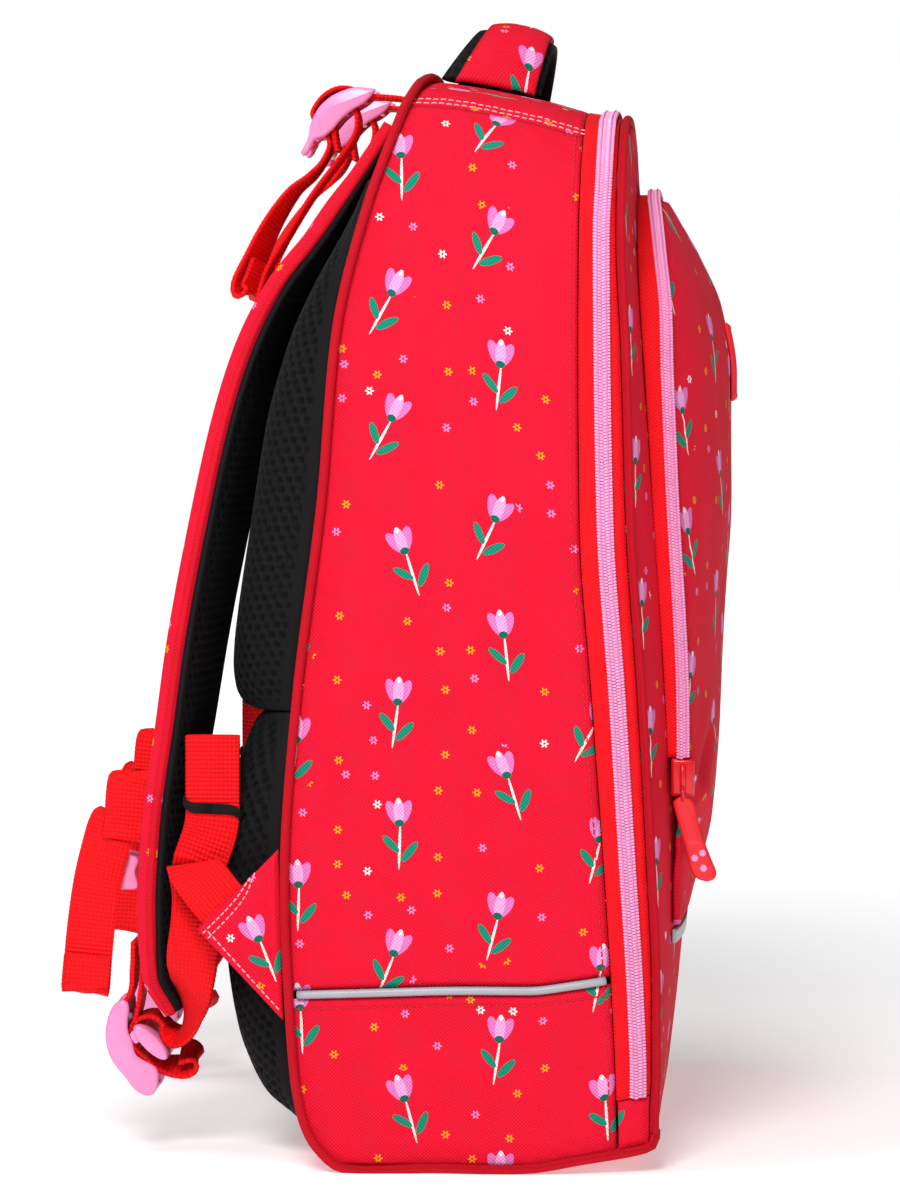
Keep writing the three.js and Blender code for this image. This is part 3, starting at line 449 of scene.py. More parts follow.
def knittedSpacer(name, ground, thread):
    # spacer mesh: two knitted faces with a pile between; the holes are drawn near black as painted shade,
    # and a lighter thread colour mixed in by noise is a painted highlight on the threads
    material, tree, shader = startMaterial(name, {"Roughness": 0.7, "Sheen Weight": 0.02,
                                                  "Sheen Roughness": 0.5, "Specular IOR Level": 0.12})
    cloth, _, _, hole = clothMarks(tree)  # here the third mark is 1 in a hole
    fuzz = put(tree, "TexNoise", {"Vector": cloth, "Scale": 2.2, "Detail": 3.0}).outputs["Fac"]
    # painted highlight: the lighter thread colour stands in for the light the threads catch
    mixed = put(tree, "Mix", {"Factor": fuzz, "A": hexColour(ground), "B": hexColour(thread)},
                data_type="RGBA")
    # painted shade: the holes are drawn near black
    colour = shadedBy(tree, mixed.outputs["Result"], hole, 0.0, 1.0, 1.0, 0.04)
    dressMaterial(tree, shader, colour, fuzz, 0.5, 0.0002)
    return material


webbing = dict(width=20, thick=1.6, rib=1.6, step=0.6, wave=0.16, ridge=0.06, edge=0.3)
printedCanvas = wovenPolyester("printed polyester canvas", "#EC1433", True)
# painted shade: the piping is the body's red drawn darker
shadedPipingCanvas = wovenPolyester("piping in bias canvas", "#DC1229", False, 0.8)
zipTwill = twillTape("zip tape in herringbone twill", "#F40C1A", 1.5, 3.2)
strapWebbing = ribbedWebbing("ribbed polyester webbing", "#F50A14", webbing["rib"])
nylonCoil = mouldedPlastic("nylon zip coil", "#F8AFD8", 0.3, 0.0006, 0.1)
acetal = mouldedPlastic("moulded acetal", "#EA90C4", 0.26, 0.0009, 0.2)
lacqueredZinc = mouldedPlastic("lacquered zinc", "#D80F1F", 0.28, 0.0012, 0.0)
softRubber = mouldedPlastic("soft moulded rubber", "#E01826", 0.5, 0.0007, 0.08)
# the second colour is a painted highlight on the threads
spacerMesh = knittedSpacer("knitted spacer mesh", "#070708", "#1A1A1D")
sewingThread = mouldedPlastic("polyester sewing thread", "#C80E22", 0.6, 0.0004, 0.0)
# pale thread; on the top seams its pale colour also stands in for glints on the stitches, a painted
# highlight
paleThreadAndGlint = mouldedPlastic("pale polyester thread", "#F2A6B4", 0.6, 0.0004, 0.0)
coilThread = mouldedPlastic("coil sewing thread", "#E277B6", 0.6, 0.0004, 0.0)
elasticBraid = twillTape("braided elastic", "#141416", 1.0, 1.2)
reflectiveTape = mouldedPlastic("glass bead reflective tape", "#A3A4AC", 0.36, 0.0003, 0.0)
print("materials ready")


# shape tables in mm, from the front (-Y) to the wearer's back (+Y) and up from the floor

def table(names, *rows):
    return [dict(zip(names.split(), row)) for row in rows]


gap = 0.4
body = dict(half=140, corner=42, crown=6, height=402, bulge=3, cloth=2)
edges = table(
    "z back seam coil front",
    (0, 40, -61, -68.5, -74.5), (8, 49.5, -61, -68.5, -74.5), (15, 54, -60.8, -68.5, -74.5),
    (28, 57.5, -60.5, -68.5, -75), (62, 60.5, -59, -67.4, -75), (113, 62, -56, -64.4, -73),
    (178, 57, -51.5, -60.6, -69.6), (243, 48.6, -47, -56.2, -65.4), (312, 42, -46.4, -54.9, -63.4),
    (354, 31, -46.6, -54.6, -61.6), (374, 23.6, -47.2, -55.4, -61.8), (388, 18.5, -47.8, -55.9, -62.2),
    (396, 15, -48.2, -56.2, -62.4), (402, 14, -48.2, -56.2, -62.4),
)
depths = table(
    "y floor top inset",
    (-76, 9, 386, 4), (-62, 6, 388, 2), (-46, 3, 391, 0), (-28, 0, 396, 0), (10, 0, 402, 0),
    (62, 0, 402, 0),
)
baseRows = table("y z", (-73.5, 8.4), (-46, 3), (-28, 0), (6, 0), (40, 0))
girth = dict(side=354, arc=body["corner"] * math.pi / 2)
girth["half"] = girth["side"] + girth["arc"] + body["half"] - body["corner"]
topFlat = body["half"] - body["corner"]
sideMiddle = 20
sideTop = girth["side"] + body["corner"] * math.radians(56)


def skin(g, y):
    # a point of the right half of the bag: g runs from the floor up the side to the middle of the top
    g, y = np.broadcast_arrays(np.asarray(g, float), np.asarray(y, float))
    half = body["half"] - readRow(depths, "y", "inset", y)
    top = readRow(depths, "y", "top", y)
    shoulder = top - body["crown"] - body["corner"]
    rise = np.clip(g / girth["side"], 0, 1)
    seam = readRow(edges, "z", "seam", g)
    share = np.clip((y - seam) / (readRow(edges, "z", "back", g) - seam), 0, 1)
    swell = body["bulge"] * 4 * share * (1 - share) * np.sin(np.pi * rise)
    turn = np.clip((g - girth["side"]) / body["corner"], 0, math.pi / 2)
    x = half - body["corner"] + body["corner"] * np.cos(turn) + swell
    z = readRow(depths, "y", "floor", y) * (1 - rise) + shoulder * rise + body["corner"] * np.sin(turn)
    over = g > girth["side"] + girth["arc"]
    flatX = (half - body["corner"]) * (girth["half"] - g) / topFlat
    x = np.where(over, flatX, x)
    z = np.where(over, top - body["crown"] * (flatX / (half - body["corner"])) ** 2, z)
    return xyz(x, y, z)


def wayOut(g):
    turn = np.clip((np.asarray(g, float) - girth["side"]) / body["corner"], 0, math.pi / 2)
    return xyz(np.cos(turn), 0.0, np.sin(turn))


def edgeAt(g, name):
    # a seam's depth, by the height that the girth has in the middle of the side
    return readRow(edges, "z", name, skin(g, sideMiddle)[..., 2])


def loop(along, name, shift, out):
    # a point of the loop over the whole bag, measured from the middle of the top, +X to the right
    along = np.asarray(along, float)
    g = girth["half"] - np.abs(along)
    points = skin(g, edgeAt(g, name) + shift) + wayOut(g) * np.asarray(out, float)[..., None]
    points[..., 0] *= np.where(along < 0, -1, 1)
    return points


def distanceToEdge(points):
    # how far each point of a grid lies from the grid's nearest side, along the cloth
    across = runLength(points, 1)
    along = runLength(points)
    return np.minimum(np.minimum(across, across[:, -1:] - across), np.minimum(along, along[-1:] - along))


def sewnRelief(points, seed, loose, tuck=0.5, gather=0.3, pitch=9.0):
    # how cloth that is sewn all round lies: slack in the middle, puckered and drawn in at the seams
    far = distanceToEdge(points)
    along = runLength(points)
    across = runLength(points, 1)
    slack = ripple(seed, across / 19, along / 19) * 0.65 + ripple(seed + 1, across / 8, along / 8) * 0.22
    bend = 2.2 * ripple(seed + 2, across / 30, along / 30)
    pucker = np.sin((along + across) * 2 * math.pi / pitch + bend)
    near = np.exp(-far / 7) * smoothStep(0, 3, far)
    return slack * loose * smoothStep(0, 22, far) + pucker * gather * near - tuck * np.exp(-far / 2.2)


def declareSheet(piece, outer):
    # the flat size is that of the pattern piece, measured along the middle of the modelled cloth
    wide = np.linalg.norm(np.diff(outer[outer.shape[0] // 2], axis=0), axis=1).sum() * mm
    long = np.linalg.norm(np.diff(outer[:, outer.shape[1] // 2], axis=0), axis=1).sum() * mm
    a = outer[1:, :-1] - outer[:-1, :-1]
    b = outer[:-1, 1:] - outer[:-1, :-1]
    area = np.linalg.norm(np.cross(a, b), axis=2).sum() * mm * mm
    area = min(area, wide * long)
    print(piece.name, "cut", round(wide * 1000), "x", round(long * 1000), "mm")


# body panels

edgeRoom = 2.4  # left free at the back seam and at the floor
fold = dict(low=63.3, high=66.5, tilt=4.4)  # the fold rises towards the front


def sidePanel(name, low, high, rows, cols, seed, loose):
    g, v = spread((low, high, rows), (0, 1, cols))
    g = g + fold["tilt"] * v * np.interp(g, (edgeRoom, fold["low"], fold["high"], sideTop), (0, 1, 1, 0))
    back = edgeAt(g, "back") - edgeRoom
    seam = edgeAt(g, "seam") + gap
    points = skin(g, back + (seam - back) * v)
    relief = sewnRelief(points, seed, loose)
    cloth = xyz(points[..., 1], g, distanceToEdge(points))
    outer = points + wayOut(g) * relief[..., None]
    for side, end in bothSides:
        piece = addSheet(name + end, outer, body["cloth"], cloth, printedCanvas, side)
        declareSheet(piece, outer)
    return outer


lowerSide = sidePanel("side_lower", edgeRoom, fold["low"], 40, 70, 11, 1.5)
upperSide = sidePanel("side_upper", fold["high"], sideTop, 136, 62, 21, 2.7)

# top panel between the side panels
reach = girth["half"] - sideTop - gap
along, v = spread((-reach, reach, 110), (0, 1, 38))
g = girth["half"] - np.abs(along)
width = edgeAt(g, "back") - edgeRoom - edgeAt(g, "seam") - gap
points = loop(along, "seam", gap + width * v, 0)
topSheet = points + xyz(0.0, 0.0, sewnRelief(points, 31, 1.0))
cloth = xyz(along, points[..., 1], distanceToEdge(points))
declareSheet(addSheet("top_panel", topSheet, body["cloth"], cloth, printedCanvas), topSheet)


def cornerCut(above, radius):
    # how far a round corner draws in, above the height where it starts
    rise = np.clip(above / radius, 0, 1)
    return radius * (1 - np.sqrt(1 - rise * rise))


# back panel and base in one wrap
wrap = dict(step=3.8, columns=72, cloth=3, inset=body["cloth"] + 2 * gap)
wrapRows = baseRows + [dict(y=row["back"], z=row["z"]) for row in edges if 4 < row["z"] < 400]
wrapLine = evenPoints(curvePoints([(0, row["y"], row["z"]) for row in wrapRows], 400), wrap["step"])
above = wrapLine[:, 2] - girth["side"]
rise = np.clip(above / body["corner"], 0, 1)
half = body["half"] - readRow(depths, "y", "inset", wrapLine[:, 1]) - wrap["inset"]
half = half - cornerCut(above, body["corner"])
across = np.linspace(-1, 1, wrap["columns"])
x = half[:, None] * across
z = wrapLine[:, 2:] + rise[:, None] * (body["crown"] * (1 - across * across) - wrap["inset"])
points = xyz(x, wrapLine[:, 1:2], np.maximum(z, 0))
length = np.arange(len(half)) * wrap["step"]
cloth = xyz(x, length[:, None], distanceToEdge(points))
declareSheet(addSheet("back_panel", points, wrap["cloth"], cloth, printedCanvas), points)
print("body panels ready")


# front panel and pocket

frontSwell = table("z dome", (14, 1), (62, 7), (113, 12), (207, 14), (316, 8), (356, 4), (382, 1))
pocket = dict(half=110, base=88, top=356, corner=58, cloth=2, tape=1.2, coil=4.4, zipEnd=150)
pocketRows = table(
    "z lip crest",
    (88, 3.4, -86.4), (100, 3.2, -90), (120, 4.2, -95), (150, 8.5, -97), (207, 10, -100), (250, 10.3, -102),
    (290, 11, -102), (316, 12, -97.5), (334, 11, -90), (346, 10, -84), (356, 9, -78),
)
front = dict(low=12, inset=2, lead=0.6, top=float(readRow(depths, "y", "top", -66)))
front["shoulder"] = front["top"] - body["crown"] - body["corner"]
front["corner"] = body["corner"] - front["inset"]
forward = (0, -1, 0)


def frontEdge(z):
    return readRow(edges, "z", "front", np.asarray(z) * body["height"] / front["top"])


def frontHalf(z):
    half = body["half"] - readRow(depths, "y", "inset", frontEdge(z)) - front["inset"]
    return half - cornerCut(np.asarray(z) - front["shoulder"], front["corner"])


def frontY(x, z):
    across = np.minimum(1, np.abs(x) / frontHalf(z))
    return frontEdge(z) - front["lead"] - readRow(frontSwell, "z", "dome", z) * (1 - across ** 4)


def pocketHalf(z):
    return pocket["half"] - cornerCut(np.asarray(z) - pocket["top"] + pocket["corner"], pocket["corner"])


def pocketY(x, z):
    half = pocketHalf(z)
    edge = frontY(half, z) - readRow(pocketRows, "z", "lip", z)
    crest = readRow(pocketRows, "z", "crest", z)
    return crest + (edge - crest) * np.minimum(1, np.abs(x) / np.maximum(half, 1)) ** 3


def crease(x, z, start, end, wide, deep):
    # a soft fold along a line in the front view, fading out at its ends
    line = np.subtract(end, start)
    share = ((x - start[0]) * line[0] + (z - start[1]) * line[1]) / (line @ line)
    off = np.hypot(x - start[0] - share * line[0], z - start[1] - share * line[1])
    fade = smoothStep(-0.08, 0.12, share) * (1 - smoothStep(0.55, 1.0, share))
    ridge = 1.5 * np.exp(-((off - 1.7 * wide) / wide) ** 2) * 0.4
    return deep * fade * (ridge - np.exp(-(off / wide) ** 2))


def frontSheet(name, points, up, relief, thick, shift):
    # a sheet that faces the front; up is the height on the flat cloth, and shift moves the print
    outer = points + np.array(forward) * relief[..., None]
    cloth = xyz(points[..., 0] + shift[0], up + shift[1], distanceToEdge(points))
    declareSheet(addSheet(name, outer, thick, cloth, printedCanvas, direction=forward), outer)


high = front["shoulder"] + front["corner"]
rows = 1 - (1 - np.linspace(0, 1, 112)) ** 1.25
z, across = np.meshgrid(front["low"] + (high - front["low"]) * rows, np.linspace(1, -1, 84), indexing="ij")
x = frontHalf(z) * across
rise = np.clip((z - front["shoulder"]) / front["corner"], 0, 1)
points = xyz(x, frontY(x, z), z + rise * body["crown"] * (1 - across ** 2))
frontSheet("front_panel", points, z, sewnRelief(points, 41, 1.2), body["cloth"], (0, 0))

creases = [  # start and end on the right half, half width, depth
    ((109, 134), (40, 112), 5, 2.6), ((109, 128), (62, 168), 6, 1.9), ((108, 122), (55, 96), 4, 1.6),
]
rows = 1 - (1 - np.linspace(0, 1, 124)) ** 1.4
z, across = np.meshgrid(pocket["base"] + (pocket["top"] - pocket["base"]) * rows,
                        np.sin(np.linspace(math.pi / 2, -math.pi / 2, 100)), indexing="ij")
x = pocketHalf(z) * across
points = xyz(x, pocketY(x, z), z)
relief = sewnRelief(points, 51, 2.4, gather=0.45)
for side in (1, -1):
    for line in creases:
        relief = relief + crease(side * x, z, *line)
frontSheet("pocket_face", points, z, relief, pocket["cloth"], (14, 9))
print("front ready")


# piping, zips and stitches

def placeMany(verts, quads, caps, centres, ways):
    # copies of one small shape; ways is its three directions at each centre
    count = len(centres)
    placed = np.einsum("nij,vi->nvj", ways, verts) + centres[:, None]
    step = (np.arange(count) * len(verts))[:, None, None]
    faces = (quads[None] + step).reshape(-1, quads.shape[1]).tolist()
    faces += (caps[None] + step).reshape(-1, caps.shape[1]).tolist()
    return placed.reshape(-1, 3), faces


def barShape(length, wide, tall, arch, sides=5):
    # a round-ended bar along its own x, flattened to wide by tall, lifted in the middle by arch
    stops = np.array([-0.5, -0.4, 0.0, 0.4, 0.5]) * length
    sizes = np.array([0.35, 0.95, 1.0, 0.95, 0.35])
    turn = np.linspace(0, 2 * math.pi, sides, endpoint=False)
    verts = []
    for stop, size in zip(stops, sizes):
        lift = arch * (1 - (2 * stop / length) ** 2)
        ring = [(stop, wide / 2 * size * math.cos(a), lift + tall / 2 * size * math.sin(a)) for a in turn]
        verts.extend(ring)
    at, squares = ringFaces(len(stops), sides, False)
    return np.array(verts), squares, np.stack([at[0][::-1], at[-1]])


def joinShapes(shapes):
    verts, faces, count = [], [], 0
    for partVerts, partFaces in shapes:
        verts.append(np.asarray(partVerts, float))
        faces += [[int(k) + count for k in face] for face in partFaces]
        count += len(partVerts)
    return np.vstack(verts), faces


def inFrom(grid, far):
    # a line along the grid's first row, at a distance in from it
    along = runLength(grid)
    return np.stack([readLine(far, along[:, j], grid[:, j]) for j in range(grid.shape[1])])


def stitchRow(line, out, pitch=2.8):
    # lock stitches that stand a little proud of the cloth; out is the way off the cloth
    middle = evenPoints(line, pitch)
    out = np.broadcast_to(np.asarray(out, float), line.shape)
    out = readLine(np.linspace(0, 1, len(middle)), np.linspace(0, 1, len(line)), out)
    tangent, _, normal = framesAlong(middle, out)
    ways = np.stack([tangent, np.cross(normal, tangent), normal], 1)
    return placeMany(*barShape(pitch * 0.74, 0.62, 0.56, 0.14), middle + normal * 0.14, ways)


def cordPiece(name, path, radius, material, up, inCad=True):
    return addPiece(name, tubeMesh(path, radius, 10, up), material, inCad)


def mirrorLine(line):
    other = line[-2::-1] * np.array([-1, 1, 1])
    return np.vstack([line, other])


pipe = dict(radius=1.7, inset=1.8, proud=2, pitch=3.0, binding=1.9, bindingProud=-1.3)


def backSeam(proud):
    # a line round the back edge and the base, proud of the side by the given distance
    line = [(body["half"] + proud - float(readRow(depths, "y", "inset", row["y"])), row["y"],
             row["z"] + pipe["inset"]) for row in baseRows]
    x, y, z = line[0]
    line = [(x - 3, y - 1.2, z + 5), (x - 1, y - 1, z + 2)] + line  # tucked up at the front
    line += [tuple(loop(girth["half"] - row["z"], "back", -pipe["inset"], proud))
             for row in edges if 4 < row["z"] < girth["side"]]
    over = np.linspace(topFlat + girth["arc"], 0, 14)
    line += [tuple(p) for p in loop(over, "back", -pipe["inset"], proud)]
    return evenPoints(curvePoints(mirrorLine(np.array(line)), 900), pipe["pitch"])


cordPiece("back_piping", backSeam(pipe["proud"]), pipe["radius"], shadedPipingCanvas, (1, 1, 1))
cordPiece("back_binding", backSeam(pipe["bindingProud"]), pipe["binding"], shadedPipingCanvas, (1, 1, 1), False)
line = loop(np.linspace(girth["half"] - 5, 0, 160), "front", 0, 0)
frontPipe = evenPoints(mirrorLine(line), pipe["pitch"])
cordPiece("front_piping", frontPipe, pipe["radius"], shadedPipingCanvas, (0, -1, 0.001))

# main zip: tape with a raised coil of separate turns
mainZip = dict(end=22, lead=2.0, tape=1.2, coil=6.2, tall=1.6, pitch=1.15, slant=0.22, proud=1.25)
reach = girth["half"] - mainZip["end"]
along, v = spread((-reach, reach, 320), (0, 1, 8))
g = girth["half"] - np.abs(along)
width = edgeAt(g, "seam") - edgeAt(g, "front") - mainZip["lead"]
wave = 0.35 * np.sin(along / 5.1 + 2 * ripple(61, along / 40, v)) * np.sin(v * math.pi) ** 2
points = loop(along, "front", mainZip["lead"] + width * v, wave)
cloth = xyz(width * v - width / 2, along, np.minimum(v, 1 - v) * width + 1.2)
declareSheet(addSheet("main_zip_tape", points, mainZip["tape"], cloth, zipTwill), points)


def zipCoil(name, path, size):
    # two rows of slanting nylon turns that mesh along the middle, sewn on a cord band
    steps = evenPoints(path, size["pitch"] / 2)
    tangent, _, normal = framesAlong(steps, np.cross(np.gradient(steps, axis=0), (0.0, 1.0, 0.0)))
    across = np.cross(normal, tangent)
    bar = barShape(size["coil"] * 0.53, size["pitch"] * 0.94, size["tall"], size["tall"] * 0.2)
    hand = np.where(np.arange(len(steps)) % 2 == 0, 1, -1)[:, None]
    centres = steps + across * hand * size["coil"] * 0.245
    lie = unit(across + tangent * hand * size["slant"])
    turns = placeMany(*bar, centres, np.stack([lie, np.cross(normal, lie), normal], 1))
    v = np.linspace(-0.46, 0.46, 5)
    band = steps[::2, None] + across[::2, None] * (v * size["coil"])[None, :, None]
    band = band - normal[::2, None] * 0.1
    band = thickSheet(band, 0.7, np.zeros(band.shape))[:2]
    cords = [steps[::3] + across[::3] * hand * size["coil"] * 0.26 + normal[::3] * size["tall"] * 0.62
             for hand in (-1, 1)]
    threads = joinShapes([tubeMesh(cord, 0.34, 6, normal[::3])[:2] for cord in cords])
    addPiece(name + "_thread", threads, coilThread, False)
    addPiece(name, joinShapes([turns, band]), nylonCoil)


path = loop(np.linspace(-reach, reach, 700), "coil", 0, mainZip["proud"])
zipCoil("main_zip_coil", path, mainZip)
print("main zip ready")

# pocket zip
pocketGirth = dict(side=pocket["top"] - pocket["corner"] - pocket["base"],
                   arc=pocket["corner"] * math.pi / 2)
pocketGirth["half"] = pocketGirth["side"] + pocketGirth["arc"] + pocket["half"] - pocket["corner"]
pocketReach = pocketGirth["half"] - (pocket["zipEnd"] - pocket["base"])
pocketZip = dict(coil=4.8, tall=1.5, pitch=1.1, slant=0.22, proud=1.2)
tapeOut = 2 * gap + pocket["tape"]


def pocketEdge(along, out):
    # x and z of the pocket's edge seen from the front, moved out by a distance
    along = np.asarray(along, float)
    g = pocketGirth["half"] - np.abs(along)
    turn = np.clip((g - pocketGirth["side"]) / pocket["corner"], 0, math.pi / 2)
    flat = np.minimum(pocket["half"] - pocket["corner"], pocketGirth["half"] - g)
    radius = pocket["corner"] + out
    x = np.where(turn < math.pi / 2, pocket["half"] - pocket["corner"] + radius * np.cos(turn), flat)
    z = pocket["base"] + np.minimum(g, pocketGirth["side"]) + radius * np.sin(turn)
    return np.where(along < 0, -1, 1) * x, z


along, v = spread((-pocketReach, pocketReach, 260), (0, 1, 10))
x, z = pocketEdge(along, tapeOut)
lip = readRow(pocketRows, "z", "lip", z)
tall = lip + (gap - lip) * v
points = xyz(x, frontY(x, z) - tall, z)
cloth = xyz(tall, along, np.minimum(v, 1 - v) * lip + 1)
addSheet("pocket_zip_tape", points, pocket["tape"], cloth, zipTwill)
x, z = pocketEdge(np.linspace(-pocketReach, pocketReach, 420), tapeOut + pocketZip["proud"])
path = xyz(x, frontY(x, z) - readRow(pocketRows, "z", "lip", z) + pocket["coil"] / 2, z)
zipCoil("pocket_zip_coil", path, pocketZip)

# reflective strip under the pocket, and the reflective piping in the folds
strip = dict(low=81, high=86, half=110, thick=1)
z, x = spread((strip["low"], strip["high"], 5), (strip["half"], -strip["half"], 80))
points = xyz(x, frontY(x, z) - gap - strip["thick"], z)
cloth = xyz(x + points[..., 1], runLength(points), 5.0)
addSheet("pocket_reflective", points, strip["thick"], cloth, reflectiveTape, direction=forward)
foldPipe = dict(z=66 - 1.5 + gap, radius=1.55, proud=0.25)
share = np.linspace(0, 1, 60)
g = foldPipe["z"] + fold["tilt"] * share
y = (edgeAt(g, "back") - 2 * edgeRoom) * (1 - share) + (edgeAt(g, "seam") + 2) * share
line = skin(g, y) + np.array([foldPipe["proud"], 0, 0])
for side, end in bothSides:
    path = line * np.array([side, 1, 1])
    cordPiece("side_reflective" + end, path, foldPipe["radius"], reflectiveTape, (1, 0, 0))

# cloth tabs over the lower ends of the main zip
endTab = dict(low=2.6, high=21.6, lap=2.0, puff=0.9, thick=2.4)
g, v = spread((endTab["low"], endTab["high"], 22), (0, 1, 20))
low = edgeAt(g, "seam") - gap
points = skin(g, low + (edgeAt(g, "front") + endTab["lap"] - low) * v)
far = distanceToEdge(points)
outer = points + np.array([1.0, 0, 0]) * (endTab["puff"] * smoothStep(0, 3, far))[..., None]
cloth = xyz(points[..., 1], g, far + 1)
for side, end in bothSides:
    piece = addSheet("zip_end_tab" + end, outer, endTab["thick"], cloth, printedCanvas, side)
    declareSheet(piece, outer)

# blank badge on the pocket, with a raised rim
badge = dict(z=295, half=30, tall=15, plate=0.9, rim=1.3)
z, x = spread((badge["z"] - badge["tall"], badge["z"] + badge["tall"], 40),
              (badge["half"], -badge["half"], 70))
far = np.minimum(badge["half"] - np.abs(x), badge["tall"] - np.abs(z - badge["z"]))
rim = badge["rim"] * (smoothStep(0, 1.2, far) - 0.55 * smoothStep(2.2, 3.0, far))
points = xyz(x, pocketY(x, z) - gap - badge["plate"] - rim, z)
shape = thickSheet(points, badge["plate"] + rim, np.zeros(points.shape), forward)
addPiece("badge_patch", shape[:2], softRubber)
print("pocket zip, tabs and badge ready")


# sliders and the pull

def roundedBox(size, radius, centre):
    shape = bmesh.new()
    bmesh.ops.create_cube(shape, size=1)
    bmesh.ops.scale(shape, vec=size, verts=shape.verts)
    bmesh.ops.bevel(shape, geom=shape.edges[:], offset=radius, segments=3, profile=0.5, affect="EDGES")
    verts = np.array([v.co[:] for v in shape.verts]) + np.array(centre, float)
    faces = [[v.index for v in face.verts] for face in shape.faces]
    shape.free()
    return verts, faces


def ringPoints(centre, wayA, wayB, radiusA, radiusB, start, end, count):
    turn = np.radians(np.linspace(start, end, count))[:, None]
    wayA, wayB = np.array(wayA), np.array(wayB)
    return np.array(centre) + np.cos(turn) * radiusA * wayA + np.sin(turn) * radiusB * wayB


slider = dict(tall=14, deep=8.6, thick=5, inward=1.6, eyeOut=1.7, eyeUp=2.4)


def sliderShape():
    # zip slider lying on its back: two plates on a neck, and a bridge; x is out, z is up
    low = roundedBox((1.8, slider["deep"], slider["tall"]), 0.8, (0.9, 0, 0))
    top = roundedBox((1.6, slider["deep"] - 0.8, slider["tall"] - 1), 0.75, (3.7, 0, 0.2))
    neck = roundedBox((2.4, 2.6, 5), 0.5, (2.3, 0, 3.5))
    arc = ringPoints((4.2, 0, 0), (0, 0, 1), (1, 0, 0), 4.6, 1.6, 0, 180, 16)
    bridge = tubeMesh(arc, 1.15, 8, (0, 1, 0))
    return joinShapes([low, top, neck, bridge[:2]])


verts, faces = sliderShape()
sliderX = pocket["half"] + 1.5 * gap
sliderFoot = pocket["zipEnd"] - gap - slider["tall"]
sliderY = float(pocketY(pocket["half"], sliderFoot)) + slider["inward"]
pivot = np.array([sliderX + slider["thick"] + slider["eyeOut"], sliderY, sliderFoot + slider["eyeUp"]])
seat = np.array([sliderX, sliderY, sliderFoot + slider["tall"] / 2])
addPiece("pocket_slider_left", mirrored(verts + seat, faces), lacqueredZinc)
parked = dict(above=12, proud=2.6)  # the plain slider at the lower end of the main zip
g = mainZip["end"] + parked["above"]
seat = skin(g, edgeAt(g, "coil")) + np.array([parked["proud"], 0, 0])
addPiece("main_zip_slider", (verts + seat, faces), lacqueredZinc)

# rubber pull: a tongue with a shallow channel, a round end and three dots
pull = dict(length=31, width=8, tip=10.4, thick=2.6, sway=9, drop=2.2)
t, s = spread((0, 1, 60), (-1, 1, 25))
endRound = np.sqrt(np.clip(1 - (np.clip(t - 0.84, 0, 1) / 0.16) ** 2, 0.004, 1))
topRound = np.sqrt(np.clip(1 - (np.clip(0.09 - t, 0, 1) / 0.09) ** 2, 0.1, 1))
halfWide = pull["width"] / 2 + (pull["tip"] - pull["width"]) / 2 * t - 0.7 * np.sin(math.pi * t)
halfWide = halfWide * endRound * topRound
edgeFall = np.sqrt(np.clip(1 - np.abs(s) ** 5, 0.03, 1)) * np.minimum(1, endRound + 0.35)
channel = 0.35 * (1 - smoothStep(0.45, 0.62, np.abs(s)))
channel = channel * smoothStep(0.14, 0.2, t) * (1 - smoothStep(0.5, 0.56, t))
tall = pull["thick"] / 2 * edgeFall - channel
points = xyz(pivot[0] + tall, pivot[1] - pull["sway"] * t ** 1.2 + halfWide * s,
             pivot[2] - pull["drop"] - pull["length"] * t)
shape = thickSheet(points, tall + pull["thick"] / 2 * edgeFall, np.zeros(points.shape), (1, 0, 0))
addPiece("zip_pull_left", mirrored(*shape[:2]), softRubber, body="pull")
dots = []
dotLine = np.array([[0, 0, 0], [0.45, 0, 0], [0.62, 0, 0]])
for share, offset in ((0.66, -1.9), (0.72, 1.6), (0.84, -0.4)):
    seat = (pivot[0] + pull["thick"] / 2 - 0.3, pivot[1] - pull["sway"] * share ** 1.2 + offset,
            pivot[2] - pull["drop"] - pull["length"] * share)
    dots.append(tubeMesh(dotLine + seat, np.array([1.35, 1.3, 0.8]), 16, (0, 0, 1))[:2])
addPiece("pull_dots", mirrored(*joinShapes(dots)), acetal, False, "pull")
ring = ringPoints(pivot + np.array([0, 0, -1.2]), (0, 0, 1), (1, 0, 0), 2.4, 2.0, 0, 360, 20)
addPiece("pull_link", mirrored(*tubeMesh(ring, 0.7, 8, (0, 1, 0))[:2]), lacqueredZinc, False, "pull")
print("sliders and pull ready")


# handle and back pads

def hexHoles(across, along, pitch):
    # 1 in the middle of each hole of a honeycomb, 0 on the threads
    row = pitch * math.sqrt(3)
    best = np.full(np.shape(across), 1e9)
    for shiftX, shiftY in ((0, 0), (pitch / 2, row / 2)):
        dx = np.mod(across + shiftX + pitch / 2, pitch) - pitch / 2
        dy = np.mod(along + shiftY + row / 2, row) - row / 2
        best = np.minimum(best, np.hypot(dx, dy))
    return 1 - smoothStep(0.24 * pitch, 0.42 * pitch, best)


def closedPad(outer, back, cloth):
    # a finely modelled outer face closed by a plain back: back is the outer grid moved to the seat
    rows, cols = outer.shape[:2]
    squares, rim = gridFaces(rows, cols)
    low = np.zeros(rows * cols, int)
    low[rim] = np.arange(len(rim)) + rows * cols
    after = np.roll(rim, -1)
    faces = squares.tolist() + np.stack([after, rim, low[rim], low[after]], -1).tolist()
    low = low.reshape(rows, cols).tolist()
    faces.append(low[0] + [low[1][-1], low[1][0]])
    faces += [[low[i][0], low[i][-1], low[i + 1][-1], low[i + 1][0]] for i in range(1, rows - 2)]
    faces.append([low[-2][0], low[-2][-1]] + low[-1][::-1])
    verts = np.vstack([outer.reshape(-1, 3), back.reshape(-1, 3)[rim]])
    return verts, faces, np.vstack([cloth.reshape(-1, 3), cloth.reshape(-1, 3)[rim]])


